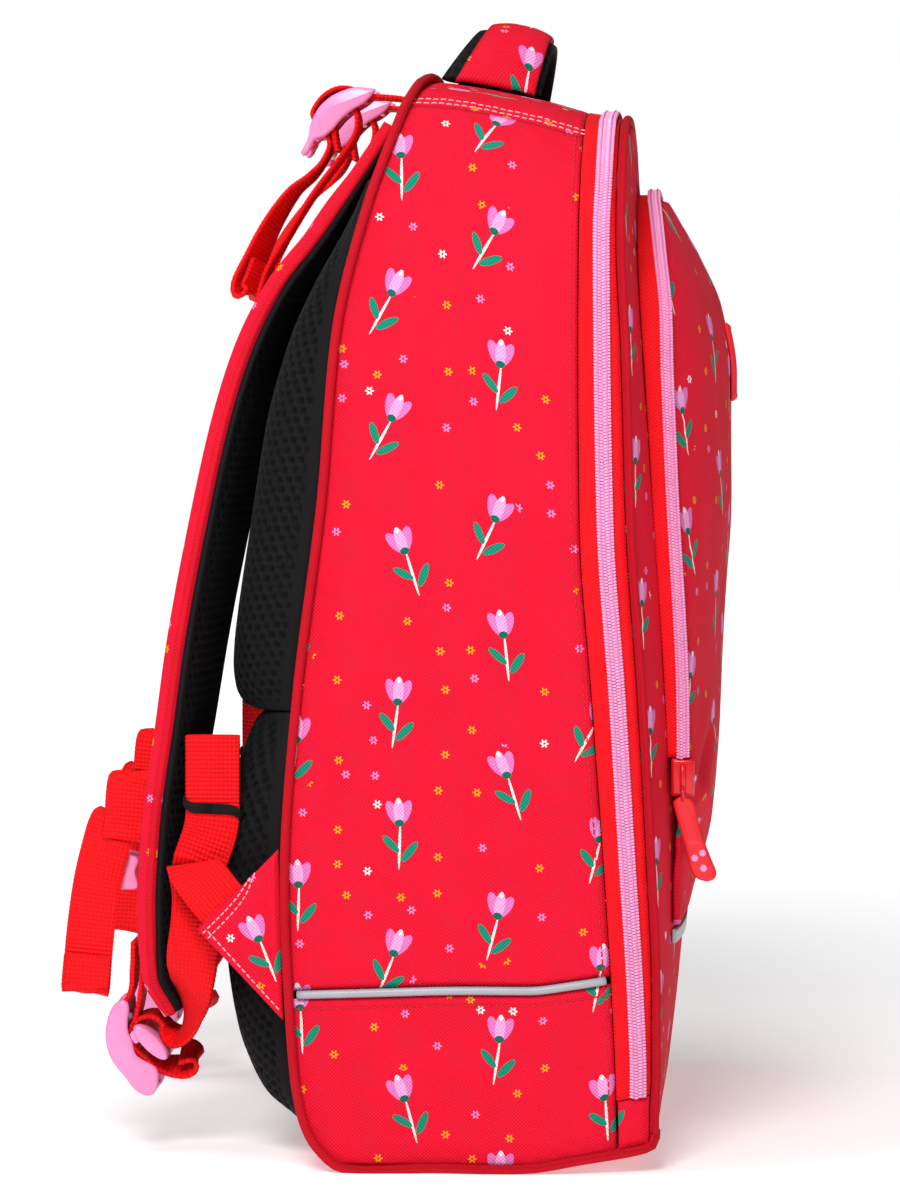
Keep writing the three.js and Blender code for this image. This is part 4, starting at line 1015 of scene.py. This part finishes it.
def topHeight(x, y):
    flat = body["half"] - readRow(depths, "y", "inset", y) - body["corner"]
    return readRow(depths, "y", "top", y) - body["crown"] * (x / flat) ** 2


handle = dict(foot=52, width=30, waist=0.24, rise=24, band=2.4, lining=4, centre=-12.6, lean=-9, pitch=4.0)


def handleGrid(foot, rise, width, lift, rows, cols, shift=0.0):
    across, v = spread((-1, 1, rows), (-0.5, 0.5, cols))
    arch = 1 - np.abs(across) ** 3
    x = foot * across
    y = handle["centre"] + handle["lean"] * arch + shift + v * width * (1 - handle["waist"] * arch)
    return xyz(x, y, topHeight(x, y) + lift + rise * arch)


points = handleGrid(handle["foot"], handle["rise"], handle["width"], 2.4, 110, 34)
far = distanceToEdge(points)
outer = points + gridNormals(points) * (1.1 * smoothStep(0, 9, far) - 0.9 * np.exp(-far / 1.6))[..., None]
cloth = xyz(points[..., 1] + 7, points[..., 0], far)
addSheet("handle_outer", outer, handle["band"], cloth, printedCanvas)
points = handleGrid(handle["foot"] - 4.4, handle["rise"] - 3.2, handle["width"] + 8, 2.6, 120, 40, 1.6)
across, along = points[..., 1], points[..., 0]
holes = hexHoles(across, along, handle["pitch"])
rim = np.sqrt(np.clip(1 - np.abs(np.linspace(-1, 1, across.shape[1])) ** 4, 0.05, 1))[None, :]
outer = points - gridNormals(points) * (1.3 * (1 - rim))[..., None]
cloth = xyz(across, along, holes)
addSheet("handle_lining", outer, handle["lining"] * rim, cloth, spacerMesh)

pad = dict(half=120, edge=3, draw=0.06, power=18, fall=18, pitch=4.2, deep=1.1, columns=236, rowStep=1.2)
upperPadRows = table("z rise", (166.6, 18), (169, 22), (174, 25), (184, 26.8), (196, 27.2), (240, 26.6),
                     (270, 25), (300, 19.8), (325, 12.5), (345, 6.5), (362, 3))
lumbarRows = table("z rise", (14, 3), (17.4, 8), (23, 14), (32, 18), (48, 22), (77, 24.6), (110, 25.2),
                   (140, 22.6), (155, 19), (162, 16.4), (166, 13))


def backPad(name, rows, seed):
    # columns are spaced evenly along the profile, so that the steep sides get as many as the face
    low, high = rows[0]["z"], rows[-1]["z"]
    share = np.linspace(-1, 1, 4001)
    fall = pad["fall"] * np.abs(share) ** pad["power"]
    arc = np.concatenate([[0], np.cumsum(np.hypot(np.diff(pad["half"] * share), np.diff(fall)))])
    share = np.interp(np.linspace(0, arc[-1], pad["columns"]), arc, share)
    u, across = np.meshgrid(np.linspace(0, 1, int((high - low) / pad["rowStep"])), share, indexing="ij")
    z = low + (high - low) * u
    swell = np.maximum(0, readRow(rows, "z", "rise", z) - pad["edge"])
    rise = pad["edge"] + swell * (1 - np.abs(across) ** pad["power"])
    half = pad["half"] * (1 - pad["draw"] * (2 * u - 1) ** 4)
    seat = xyz(half * across, readRow(edges, "z", "back", z) + gap, z)
    points = seat + np.array([0, 1.0, 0]) * rise[..., None]
    far = distanceToEdge(points)
    along = runLength(points)
    over = runLength(points, 1)
    over -= over[:, -1:] / 2
    holes = hexHoles(over, along, pad["pitch"]) * smoothStep(2, 5, far)
    soft = 0.9 * ripple(seed, over / 22, along / 22) * smoothStep(3, 25, far)
    outer = points + gridNormals(points) * (soft - pad["deep"] * holes)[..., None]
    shape = closedPad(outer, seat, xyz(over, along, holes))
    addPiece(name, shape, spacerMesh)


backPad("upper_pad", upperPadRows, 71)
backPad("lumbar_pad", lumbarRows, 72)
print("handle and pads ready")


# shoulder straps

strapRows = table(
    "z y x width thick twist",
    (385, 28, 48, 50, 2.4, 0), (366, 40, 48, 54, 4, 2), (345, 54, 50, 58, 5.5, 4),
    (325, 68.5, 53, 62, 6.5, 6), (300, 80, 57, 64, 7, 7), (270, 88, 63, 65, 7, 8),
    (233, 95.5, 71, 64, 7, 8), (193, 102.5, 79, 62, 7, 8), (160, 107, 85, 58, 7, 8),
    (120, 113.5, 88, 53, 7, 6), (88, 115.8, 89, 47, 7, 5), (66, 114.5, 89, 39, 5.4, 5),
    (51, 107.5, 88, 28, 3.6, 5),
)


def strapValue(z, name):
    return readRow(strapRows, "z", name, z)


def strapAcross(z):
    twist = np.radians(strapValue(z, "twist"))
    return xyz(-np.cos(twist), -np.sin(twist), 0.0)


def strapMiddle(z):
    z = np.asarray(z, float)
    return xyz(strapValue(z, "x"), strapValue(z, "y"), z)


fine = np.linspace(strapRows[0]["z"], strapRows[-1]["z"], 1200)
strapLength = runLength(strapMiddle(fine))


def strapGrid(rows, cols):
    length = np.linspace(0, strapLength[-1], rows)
    z = np.interp(length, strapLength, fine)
    across = np.linspace(-0.5, 0.5, cols)[None, :] * strapValue(z, "width")[:, None]
    points = strapMiddle(z)[:, None] + strapAcross(z)[:, None] * across[..., None]
    along = np.broadcast_to(length[:, None], across.shape)
    return points, across, along, np.broadcast_to(strapValue(z, "thick")[:, None], across.shape)


sway = dict(out=15, foot=12, low=60, middle=200, high=385, tied=(50, 86))


def swung(verts):
    # the right strap hangs further out than the left, and its lock with it
    moved = np.array(verts, float)
    z = moved[:, 2]
    share = np.clip((z - sway["low"]) / (sway["high"] - sway["low"]), 0, 1)
    moved[:, 1] += sway["out"] * np.sin(np.pi * share) ** 2
    moved[:, 1] += sway["foot"] * (1 - smoothStep(sway["low"], sway["middle"], z))
    return moved


def tiedSwing(verts):
    # webbing that runs from the swung lock back to the bag
    moved = np.array(verts, float)
    moved[:, 1] += sway["foot"] * (1 - smoothStep(*sway["tied"], moved[:, 2]))
    return moved


def addBoth(name, shape, material, inCad=True, warp=None):
    # the piece on the right, warped as it hangs there, and its twin on the left
    right = (warp(shape[0]), *shape[1:]) if warp else shape
    return [addPiece(name + end, made, material, inCad)
            for made, end in ((right, "_right"), (mirrored(*shape), "_left"))]


strap = dict(rows=250, cols=40, corner=2.6, crown=1.4, piping=1.6, seam=0.56)
strapLining = dict(rows=290, cols=52, thick=3.2, belly=1.2, hole=0.8)


def strapSection(half, thick, cols):
    # outer side of the strap cut across: up one edge, over the crowned face and down the other edge
    corner = np.minimum(strap["corner"], thick * 0.6)
    turn = np.linspace(0, math.pi / 2, 7)
    flat = np.linspace(-1, 1, cols)[1:-1]
    side = np.concatenate([[-half], -half + corner * (1 - np.cos(turn))])
    drop = np.concatenate([[thick * strap["seam"]], corner * (1 - np.sin(turn))])
    across = np.concatenate([side, flat * (half - corner), -side[::-1]])
    depth = np.concatenate([drop, np.zeros(cols - 2), drop[::-1]])
    return across, depth - strap["crown"] * np.cos(np.clip(across / half, -1, 1) * math.pi / 2) ** 0.8


points, across, along, thick = strapGrid(strap["rows"], 3)
normal = gridNormals(points)[:, 1]
middle, thick = points[:, 1], thick[:, 1]
z = middle[:, 2]
width = strapValue(z, "width")
sections = [strapSection(w / 2, t, strap["cols"]) for w, t in zip(width, thick)]
across, depth = np.stack(sections, 1)
along = np.broadcast_to(along[:, :1], across.shape)
far = np.minimum(depth.max(1, keepdims=True) - depth, along + 0.2)
soft = 0.55 * ripple(81, across / 14, along / 18) * smoothStep(2, 12, width[:, None] / 2 - np.abs(across))
pucker = 0.22 * np.sin(along * 2 * math.pi / 8.5) * smoothStep(1.5, 4, depth)
sideways = across + np.sign(across) * pucker
way = strapAcross(z)
outer = middle[:, None] + way[:, None] * sideways[..., None] + normal[:, None] * (soft - depth)[..., None]
back = middle[:, None] + way[:, None] * across[..., None] - normal[:, None] * thick[:, None, None]
cloth = xyz(across + np.sign(across) * depth + 31, along, far + 0.4)
shape = closedPad(outer, back, cloth)
for piece in addBoth("shoulder_strap", shape, printedCanvas, warp=swung):
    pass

# piping sewn between the strap's cloth and its lining
edgeCord = []
for side in (-1, 1):
    reach = (side * (width / 2 - 0.4))[:, None]
    line = middle + way * reach - normal * (thick * strap["seam"] + 1.3)[:, None]
    edgeCord.append(tubeMesh(evenPoints(line, 2.2), strap["piping"], 8, normal[len(normal) // 2])[:2])
verts, faces = joinShapes(edgeCord)
marks = xyz(verts[:, 0], verts[:, 2], 5.0)
addBoth("strap_binding", (verts, faces, marks), shadedPipingCanvas, False, swung)

points, across, along, thick = strapGrid(strapLining["rows"], strapLining["cols"])
normal = gridNormals(points)
far = distanceToEdge(points)
holes = hexHoles(across, along, pad["pitch"]) * smoothStep(2, 5, far)
fuller = 1 + 0.9 * (1 - smoothStep(265, 305, points[..., 2]))
belly = strapLining["belly"] * fuller * smoothStep(0, 12, far) - strapLining["hole"] * holes
seat = points - normal * (thick + gap)[..., None]
deep = thick + gap + strapLining["thick"] + belly - strapLining["belly"]
face = points - normal * deep[..., None]
shape = closedPad(face[:, ::-1], seat[:, ::-1], xyz(across, along, holes)[:, ::-1])
for piece in addBoth("strap_lining", shape, spacerMesh, warp=swung):
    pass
print("straps ready")


# webbing and ladder locks

lock = dict(width=26, rail=2.8)
webLift = gap + webbing["thick"]
left = (-1, 0, 0)


def webGrid(route, ways, width, shares=None):
    # outer side of a flat strip along a route; ways says which way its width lies at each point of it
    route = np.asarray(route, float)
    ways = np.asarray(ways, float)
    stops = np.arange(len(route))
    knots = curveKnots(route)
    dense = curvePoints(route, 600)
    place = np.interp(np.linspace(0, knots[-1], 600), knots, stops)
    along = runLength(dense)
    at = np.linspace(0, along[-1], int(along[-1] / webbing["step"]) + 2)
    path = readLine(at, along, dense)
    place = np.interp(at, along, place)
    way = np.stack([smoothAlong(stops, ways[:, k], place) for k in range(3)], -1)
    tangent = unit(np.gradient(path, axis=0))
    way = unit(way - tangent * (way * tangent).sum(1, keepdims=True))
    out = np.cross(tangent, way)
    v = np.array([-0.5, -0.47, -0.4, -0.2, 0, 0.2, 0.4, 0.47, 0.5])
    rib = np.sin(at * 2 * math.pi / webbing["rib"])
    share = smoothAlong(stops, np.ones(len(route)) if shares is None else np.array(shares), place)
    reach = v[None, :] * (width * share + webbing["wave"] * rib)[:, None]
    drop = webbing["edge"] * (2 * np.abs(v)) ** 12
    points = path[:, None] + way[:, None] * reach[..., None]
    points = points + out[:, None] * (webbing["ridge"] * rib[:, None] - drop[None, :])[..., None]
    cloth = xyz((v * width)[None, :], at[:, None], 5.0)
    return points, cloth


def webStrip(name, route, ways, width=webbing["width"], thick=webbing["thick"], warp=None,
             shares=None):
    ways = ways if len(ways) == len(route) else [ways[0]] * len(route)
    points, cloth = webGrid(route, ways, width, shares)
    for piece in addBoth(name, thickSheet(points, thick, cloth), strapWebbing, warp=warp):
        declareSheet(piece, points)


def onStrap(z, lift):
    step = 0.5
    tangent = strapMiddle(z - step) - strapMiddle(z + step)
    out = np.cross(tangent, strapAcross(np.asarray(z, float)))
    return strapMiddle(z) + out / np.linalg.norm(out) * lift


def fromSide(x, *places):
    # points at one depth, from the places seen in the side view
    return [(x, y, z) for y, z in places]


def closedCurve(corners, count):
    # a smooth closed line through the corners of a profile
    corners = np.asarray(corners, float)
    ring = np.vstack([corners[-2:], corners, corners[:3]])
    flat = np.column_stack([np.zeros(len(ring)), ring])
    knots = curveKnots(flat)
    dense = curvePoints(flat, 60 * len(ring))
    at = np.linspace(0, knots[-1], len(dense))
    dense = dense[(at >= knots[2]) & (at <= knots[2 + len(corners)])]
    total = np.linalg.norm(np.diff(dense, axis=0), axis=1).sum()
    return evenPoints(dense, total / count)[:-1, 1:]


def moulded(corners, low, high, edge=0.7, count=56):
    # a profile in the side view run across from low to high, with rounded rims as a mould leaves them
    line = closedCurve(corners, count)
    ahead = np.roll(line, -1, axis=0) - np.roll(line, 1, axis=0)
    inward = unit(np.stack([-ahead[:, 1], ahead[:, 0]], -1))
    area = np.sum(line[:, 0] * np.roll(line[:, 1], -1) - line[:, 1] * np.roll(line[:, 0], -1))
    inward *= np.sign(area)
    stops = [(low, edge), (low + 0.3 * edge, 0.3 * edge), (low + edge, 0), (high - edge, 0),
             (high - 0.3 * edge, 0.3 * edge), (high, edge)]
    rings = [np.column_stack([np.full(len(line), x), line + inward * inset]) for x, inset in stops]
    verts = np.vstack(rings)
    at, squares = ringFaces(len(stops), len(line), area > 0)
    first, last = at[0].tolist(), at[-1].tolist()
    return verts, squares.tolist() + ([first, last[::-1]] if area > 0 else [first[::-1], last])


def oval(y, z, radiusA, radiusB, turn=0.0):
    angle = np.linspace(0, 2 * math.pi, 12, endpoint=False)
    a, b = radiusA * np.cos(angle), radiusB * np.sin(angle)
    lean = math.radians(turn)
    across, up = math.cos(lean), math.sin(lean)
    return np.column_stack([y + a * across - b * up, z + a * up + b * across])


def rails(profile, x):
    half = lock["width"] / 2
    near, deep = x + half - lock["rail"], x - half
    return [moulded(profile, low, low + lock["rail"], 1.25) for low in (deep, near)]


# top lock: a leaf-shaped lock that the lifter webbing is threaded through
topX = 48
topProfile = [(32.2, 397.6), (35.5, 398.2), (39.5, 398.6), (44.6, 397.3), (49, 395.2), (53.4, 391.4),
              (56, 387), (57.2, 383.6), (57.8, 379.6), (59.4, 376.3), (60.7, 373.6), (59.6, 372.6),
              (57.8, 373.6), (56.4, 376.2), (54.9, 378.9), (51.9, 379.8), (48.4, 382.6), (45.2, 386.4),
              (41.4, 389.6), (37, 392.2), (34.4, 394.4)]
topBars = [oval(37.4, 394, 1.4, 1.3), oval(49.2, 391.6, 3.4, 1.9, -45), oval(44.6, 389.6, 1.5, 1.5),
           oval(57.2, 377.2, 2.2, 1.3, -60)]
inside = lock["width"] / 2 - 1
shapes = rails(topProfile, topX) + [moulded(bar, topX - inside, topX + inside, 0.3, 20) for bar in topBars]
addBoth("top_lock", joinShapes(shapes), acetal)

route = fromSide(topX, (16.8, 393.4), (22, 395.2), (29, 396), (36.5, 396.6), (41, 398.9), (46.6, 399.3),
                 (51.8, 397), (55.8, 392.6), (57.4, 388.6), (55.4, 384.4), (52.2, 381), (51, 377.2),
                 (53.4, 371.6), (57.6, 366.4))
route += [(49, 64.6, 360.2), (50.5, 72, 349.4), (52, 78.6, 335.8), (53, 83.2, 323.6), (53, 82.6, 320.6),
          (53, 79.6, 320.8), (52.6, 77.6, 324.6), (52, 74.6, 332)]
twist = [math.radians(max(0, min(1, (k - 12) / 5)) * 25) for k in range(len(route))]
webStrip("lifter_webbing", route, [(-math.cos(t), -math.sin(t), 0) for t in twist], warp=swung)

heights = np.linspace(309, 286, 3)
route = fromSide(topX, (46.2, 374.6), (47.4, 381), (47.8, 387), (46.2, 391.6), (42.6, 391.4), (40.6, 387.6),
                 (40.8, 383), (43.4, 377.6), (48.8, 370.2))
route += [(49, 57.5, 358.5), (51, 66.4, 344), (53, 75, 328.4)]
route += [onStrap(h, webLift + gap) for h in heights]
webStrip("strap_top_webbing", route, [left] * 12 + [strapAcross(h) for h in heights], warp=swung)

# chest strap: a track sewn on the strap, its buckle, and the webbing that hangs from it
heights = np.linspace(168, 92, 6)
lifts = (0.3, 1.4, webLift, webLift, 1.6, 0.6)
route = [onStrap(h, lift) for h, lift in zip(heights, lifts)]
webStrip("chest_anchor", route, [strapAcross(h) for h in heights], warp=swung)
buckle = dict(z=104, deep=14, wide=18.4, prong=2.2, apart=6.536, bar=7.4)
seat = onStrap(buckle["z"], webLift + 4 * gap + buckle["deep"] / 2)
prong = [(-6.4, -6), (-2, -6.6), (3, -6.2), (6.6, -3.4), (7, 1), (5.6, 5), (1, 6.4), (-3.4, 6.4),
         (-6.6, 4.4), (-5.4, 0)]
prong = [(seat[1] + y, seat[2] + z) for y, z in prong]
shapes = [moulded(prong, seat[0] + side * buckle["apart"] - buckle["prong"],
                  seat[0] + side * buckle["apart"] + buckle["prong"]) for side in (-1, 1)]
for y, z in ((-4.6, 3.4), (-0.4, -4.6), (4.6, 3)):
    bar = oval(seat[1] + y, seat[2] + z, 1.7, 1.4)
    shapes.append(moulded(bar, seat[0] - buckle["bar"], seat[0] + buckle["bar"], 0.3, 20))
addBoth("chest_buckle", joinShapes(shapes), acetal, warp=swung)
chestX = seat[0] + buckle["wide"] / 2 + webLift
line = [(1.2, 127), (2.4, 124.6), (4, 119), (8, 103), (10.6, 86), (12, 72), (12.7, 62.4)]
route = [(chestX + 0.6, seat[1] + y, z) for y, z in line]
line = [(0.9, 12.9, 60.9), (1.5, 12.9, 62.2), (1.5, 12.6, 66), (1.4, 11.9, 73.4)]
route += [(chestX + x, seat[1] + y, z) for x, y, z in line]
shares = [0.7, 0.93] + [1] * (len(route) - 2)
webStrip("chest_webbing", route, [(0, 1, 0.12)], 18, warp=swung, shares=shares)
line = [(-2.8, -3.4, 126), (-2.8, -4.4, 136), (-2.4, -5.4, 140.6), (-0.2, -6, 142.8), (2.1, -5.4, 141),
        (2.5, -4.6, 137), (2.5, -3.8, 127), (2.4, -2.8, 117.4)]
route = [(chestX + x, seat[1] + y, z) for x, y, z in line]
ways = [(0, 1, tilt) for tilt in (0.1, 0, -0.12, -0.16, -0.12, -0.04, 0.04, 0.12)]
points, cloth = webGrid(route, ways, 18.4, [1, 1, 0.97, 0.92, 0.96, 1, 1, 1])
addBoth("chest_fold", thickSheet(points, webbing["thick"], cloth), strapWebbing, False, swung)

# lower lock: S-shaped rails with a lip, hung in a loop at the strap's end
lowX = 89
lowProfile = [(124, 57.3), (126.6, 56.5), (129, 53.2), (130.5, 48.2), (130.9, 43.2), (129.9, 37.7),
              (127.8, 33.4), (125.3, 30.2), (123.2, 27.7), (121.2, 24.9), (119.1, 22.9), (116, 21.4),
              (113.3, 21.8), (111.6, 24.2), (111, 28.2), (111.6, 31.4), (114, 33.4), (117.6, 35.2),
              (119.6, 36.8), (120.4, 39.2), (121, 42.2), (122.4, 45.2), (122.5, 49.4), (122, 53.6),
              (122.5, 56.3)]
lip = [(125, 30.8), (122.6, 27.4), (120.4, 24.4), (117.4, 22.4), (114.2, 21.9), (112.2, 23.2), (114, 24.4),
       (117, 25.4), (119, 28), (121, 31.6), (123, 33)]
lowBars = [lip, oval(124.6, 49, 1.5, 2.4), oval(124.6, 36.6, 2.2, 2.2)]
tongue = oval(113.8, 41.6, 8.6, 2.9, 45)
neck = [(121.6, 44.8), (118, 46.4), (116, 44.4), (119.6, 41)]
shapes = rails(lowProfile, lowX) + [moulded(bar, lowX - inside, lowX + inside, 0.5, 30) for bar in lowBars]
shapes.append(moulded(tongue, lowX - inside - 3, lowX + inside + 3, 0.9, 40))
for side in (-1, 1):
    middle = lowX + side * (lock["width"] / 2 - 1.5)
    shapes.append(moulded(neck, middle - 0.9, middle + 0.9, 0.3, 20))
addBoth("lower_lock", joinShapes(shapes), acetal, warp=swung)

heights = (106.0, 96.0, 84.0)
route = [onStrap(h, lift) for h, lift in zip(heights, (0.4, 1.8, webLift))]
route += fromSide(lowX, (118.4, 70), (119, 61), (120.2, 53.6), (121.6, 48.4), (124.2, 45), (126.8, 46.2),
                  (127.2, 49.6), (125.2, 53.4), (122.2, 57), (120.7, 61), (120.1, 69), (119.8, 79))
webStrip("strap_end_loop", route, [strapAcross(h) for h in heights] + [left] * 12, 19, warp=swung)

# side tab in the back seam
tab = dict(x=138.7, thick=2.2, low=(61, 55.5), tipLow=(92.4, 88.6), tipHigh=(75, 105.6), high=(62.8, 118))
low, tipLow, tipHigh, high = (np.array(tab[name]) for name in ("low", "tipLow", "tipHigh", "high"))
s, t = spread((0, 1, 50), (0, 1, 50))
flat = ((low * (1 - t[..., None]) + high * t[..., None]) * (1 - s[..., None])
        + (tipLow * (1 - t[..., None]) + tipHigh * t[..., None]) * s[..., None])
points = xyz(tab["x"] + tab["thick"] / 2, flat[..., 0], flat[..., 1])
far = distanceToEdge(points)
tabLift = (0.9 * smoothStep(0, 2.0, far) - 0.45 * np.exp(-((far - 4.2) / 1.3) ** 2)
           + 0.5 * ripple(91, flat[..., 0] / 9, flat[..., 1] / 9) * smoothStep(5, 12, far))
outer = points + np.array([1.0, 0, 0]) * tabLift[..., None]
cloth = xyz(flat[..., 0] + 20, flat[..., 1], far + 1.2)
shape = thickSheet(outer, tab["thick"] + tabLift, cloth, (1, 0, 0))
for piece in addBoth("side_tab", shape, printedCanvas):
    declareSheet(piece, outer)
rows = [stitchRow(inFrom(outer[::-1], far)[3:-1], (1, 0, 0), 2.3) for far in (2.6, 5.2)]
rows.append(stitchRow(inFrom(outer.transpose(1, 0, 2), 2.8)[3:-5], (1, 0, 0), 2.6))
addBoth("tab_stitching", joinShapes(rows), paleThreadAndGlint, False)

# lower webbing: its loose end under the lock, up to a fold and down into the tab
tabInside = tab["x"] - tab["thick"] / 2 - gap
stops = [
    ((89, 104, 35.4), (-0.94, 0, 0.3)), ((89, 100.4, 35.4), (-0.94, 0, 0.3)),
    ((89, 98.8, 33.8), (-0.94, 0, 0.3)), ((89, 100.6, 32.2), (-0.94, 0, 0.3)),
    ((89, 105, 31.8), (-0.96, 0, 0.25)), ((89, 110.8, 33), (-0.98, 0, 0.15)), ((89, 116.4, 36), left),
    ((89, 119.6, 39.4), left), ((89, 120, 43.4), left), ((89, 118.6, 48.6), left),
    ((89, 113.4, 49.6), left), ((89.6, 108.4, 45.4), left), ((93, 103.4, 44.4), (-1, 0.06, 0)),
    ((99, 100, 49.5), (-0.96, 0.26, 0.05)), ((106, 98.2, 57.5), (-0.86, 0.5, 0)),
    ((112.5, 97, 66), (-0.6, 0.8, 0)), ((116, 96.4, 76), (-0.2, 0.98, 0)), ((115, 94.8, 88), (0, 1, 0)),
    ((113, 94.6, 99), (0, 1, 0)), ((114.4, 95.8, 107.4), (0, 1, -0.08)), ((118, 96, 110.6), (0, 1, -0.14)),
    ((122, 94.8, 108.8), (0, 0.97, -0.22)), ((129.5, 90.2, 104), (0, 0.86, -0.5)),
    ((tabInside - 1, 83.7, 97.4), (0, 0.72, -0.69)), ((tabInside, 77, 91), (0, 0.7, -0.71)),
]
webStrip("lower_webbing", [stop[0] for stop in stops], [stop[1] for stop in stops], warp=tiedSwing)

# spare length folded to and fro in a keeper
hank = dict(x=111.4, y=89.3, low=107.2, high=160, lean=6, layer=1.4)
route = []
for k in range(4):
    x = hank["x"] - hank["layer"] * (k - 1.5) + 0.6
    ends = (hank["low"] + 2.2 + k % 2, hank["high"] - 2.2 - 1.2 * (k % 3))
    climb = np.linspace(0, 1, 9) if k % 2 == 0 else np.linspace(1, 0, 9)
    for c in climb:
        z = ends[0] + (ends[1] - ends[0]) * c
        lean = hank["lean"] * float(1 - smoothStep(hank["low"] - 6, 128, z)) * 1.1
        waver = 0.3 * math.sin(3 * c + k)
        route.append((x + waver, hank["y"] + lean, z))
webStrip("webbing_hank", route, [(0, -1, 0)], thick=1.05)
keeper = dict(z=130.5, tall=3.8, cloth=0.8, slant=2.6, reach=(4.1, 10.7))
turn = np.linspace(0, 2 * math.pi, 90)
square = xyz(np.sign(np.cos(turn)) * np.abs(np.cos(turn)) ** 0.22 * keeper["reach"][0],
             np.sign(np.sin(turn)) * np.abs(np.sin(turn)) ** 0.22 * keeper["reach"][1],
             keeper["slant"] * np.sin(turn))
ring = np.array([hank["x"], hank["y"], keeper["z"]]) + square
v = np.linspace(-0.5, 0.5, 9)
points = ring[:, None] + np.array([0, 0, 1.0]) * (v * keeper["tall"])[None, :, None]
swell = 0.3 * (1 - (2 * v) ** 2)
away = square * np.array([1, 1, 0]) / np.array([*keeper["reach"], 1])
points = points + away[:, None] * swell[None, :, None]
cloth = xyz((v * keeper["tall"])[None, :], runLength(ring)[:, None], 5.0)
addBoth("keeper_band", thickSheet(points, keeper["cloth"], cloth), elasticBraid)
print("webbing and locks ready")


# seam stitches

rise = wayOut(np.linspace(fold["high"], sideTop, len(upperSide)))
rows = [stitchRow(inFrom(upperSide[:, ::-1].transpose(1, 0, 2), 2.6), rise),
        stitchRow(inFrom(lowerSide[:, ::-1].transpose(1, 0, 2), 2.6), (1, 0, 0)),
        stitchRow(inFrom(lowerSide[::-1], 3.8), (1, 0, 0))]
addBoth("side_stitching", joinShapes(rows), sewingThread, False)
rows = [stitchRow(inFrom(grid, far), (0, 0, 1))
        for grid in (topSheet, topSheet[::-1]) for far in (1.6, 4.4)]
# painted highlight: these stitches take the pale thread to stand in for their glints
addPiece("top_stitching", joinShapes(rows), paleThreadAndGlint, False)
print("stitches ready")


# stage, light and camera

# the floor glows a little, and more so far off, where it goes white
paper, tree, glow = startMaterial("pale paper floor", {"Base Color": hexColour("#F6F6F6"), "Roughness": 0.9,
                                                       "Emission Color": (1, 1, 1, 1)})
place = put(tree, "NewGeometry").outputs["Position"]
away = put(tree, "VectorMath", {0: place}, operation="LENGTH").outputs["Value"]
lit = put(tree, "MapRange", {0: away, 1: 0.4, 2: 1.7, 3: 0.4, 4: 1.0})
tree.links.new(lit.outputs[0], glow.inputs["Emission Strength"])
far = 4000
verts = np.array([(-far, -far, 0), (far, -far, 0), (far, far, 0), (-far, far, 0)], float)
floor = newObject("floor", verts, [[0, 1, 2, 3]], paper, smooth=False)

# white to look at, softer as a light
world = bpy.data.worlds.new("white studio")
world.use_nodes = True
tree = world.node_tree
tree.nodes.clear()
seen = put(tree, "LightPath").outputs["Is Camera Ray"]
strength = put(tree, "MapRange", {0: seen, 3: 0.12, 4: 1.0})
background = put(tree, "Background", {"Color": (1, 1, 1, 1), "Strength": strength})
put(tree, "OutputWorld", {"Surface": background})
bpy.context.scene.world = world
bpy.context.scene.view_settings.view_transform = "Standard"


def softLight(name, place, target, size, power):
    data = bpy.data.lights.new(name, "AREA")
    data.shape = "DISK"
    data.size = size
    data.energy = power
    lamp = bpy.data.objects.new(name, data)
    lamp.location = place
    lamp.rotation_euler = (Vector(target) - Vector(place)).to_track_quat("-Z", "Y").to_euler()
    bpy.context.scene.collection.objects.link(lamp)


middle = (0, 0, 0.2)
softLight("key light", (-1.7, 0.2, 1.4), middle, 0.8, 34)
softLight("top light", (-0.2, 0.5, 1.9), middle, 1.0, 12)

camera = bpy.data.cameras.new("camera")
camera.sensor_fit = "VERTICAL"
camera.sensor_height = 24
view = dict(target=(-140, 0, 209.2), distance=1800, yaw=3, lift=3, field=435)
camera.lens = camera.sensor_height * view["distance"] / view["field"]
yaw = math.radians(view["yaw"])
lift = math.radians(view["lift"])
target = Vector(view["target"]) * mm
away = Vector((-math.cos(yaw) * math.cos(lift), -math.sin(yaw) * math.cos(lift), math.sin(lift)))
eye = bpy.data.objects.new("camera", camera)
eye.location = target + away * view["distance"] * mm
eye.rotation_euler = (-away).to_track_quat("-Z", "Y").to_euler()
bpy.context.scene.collection.objects.link(eye)
bpy.context.scene.camera = eye
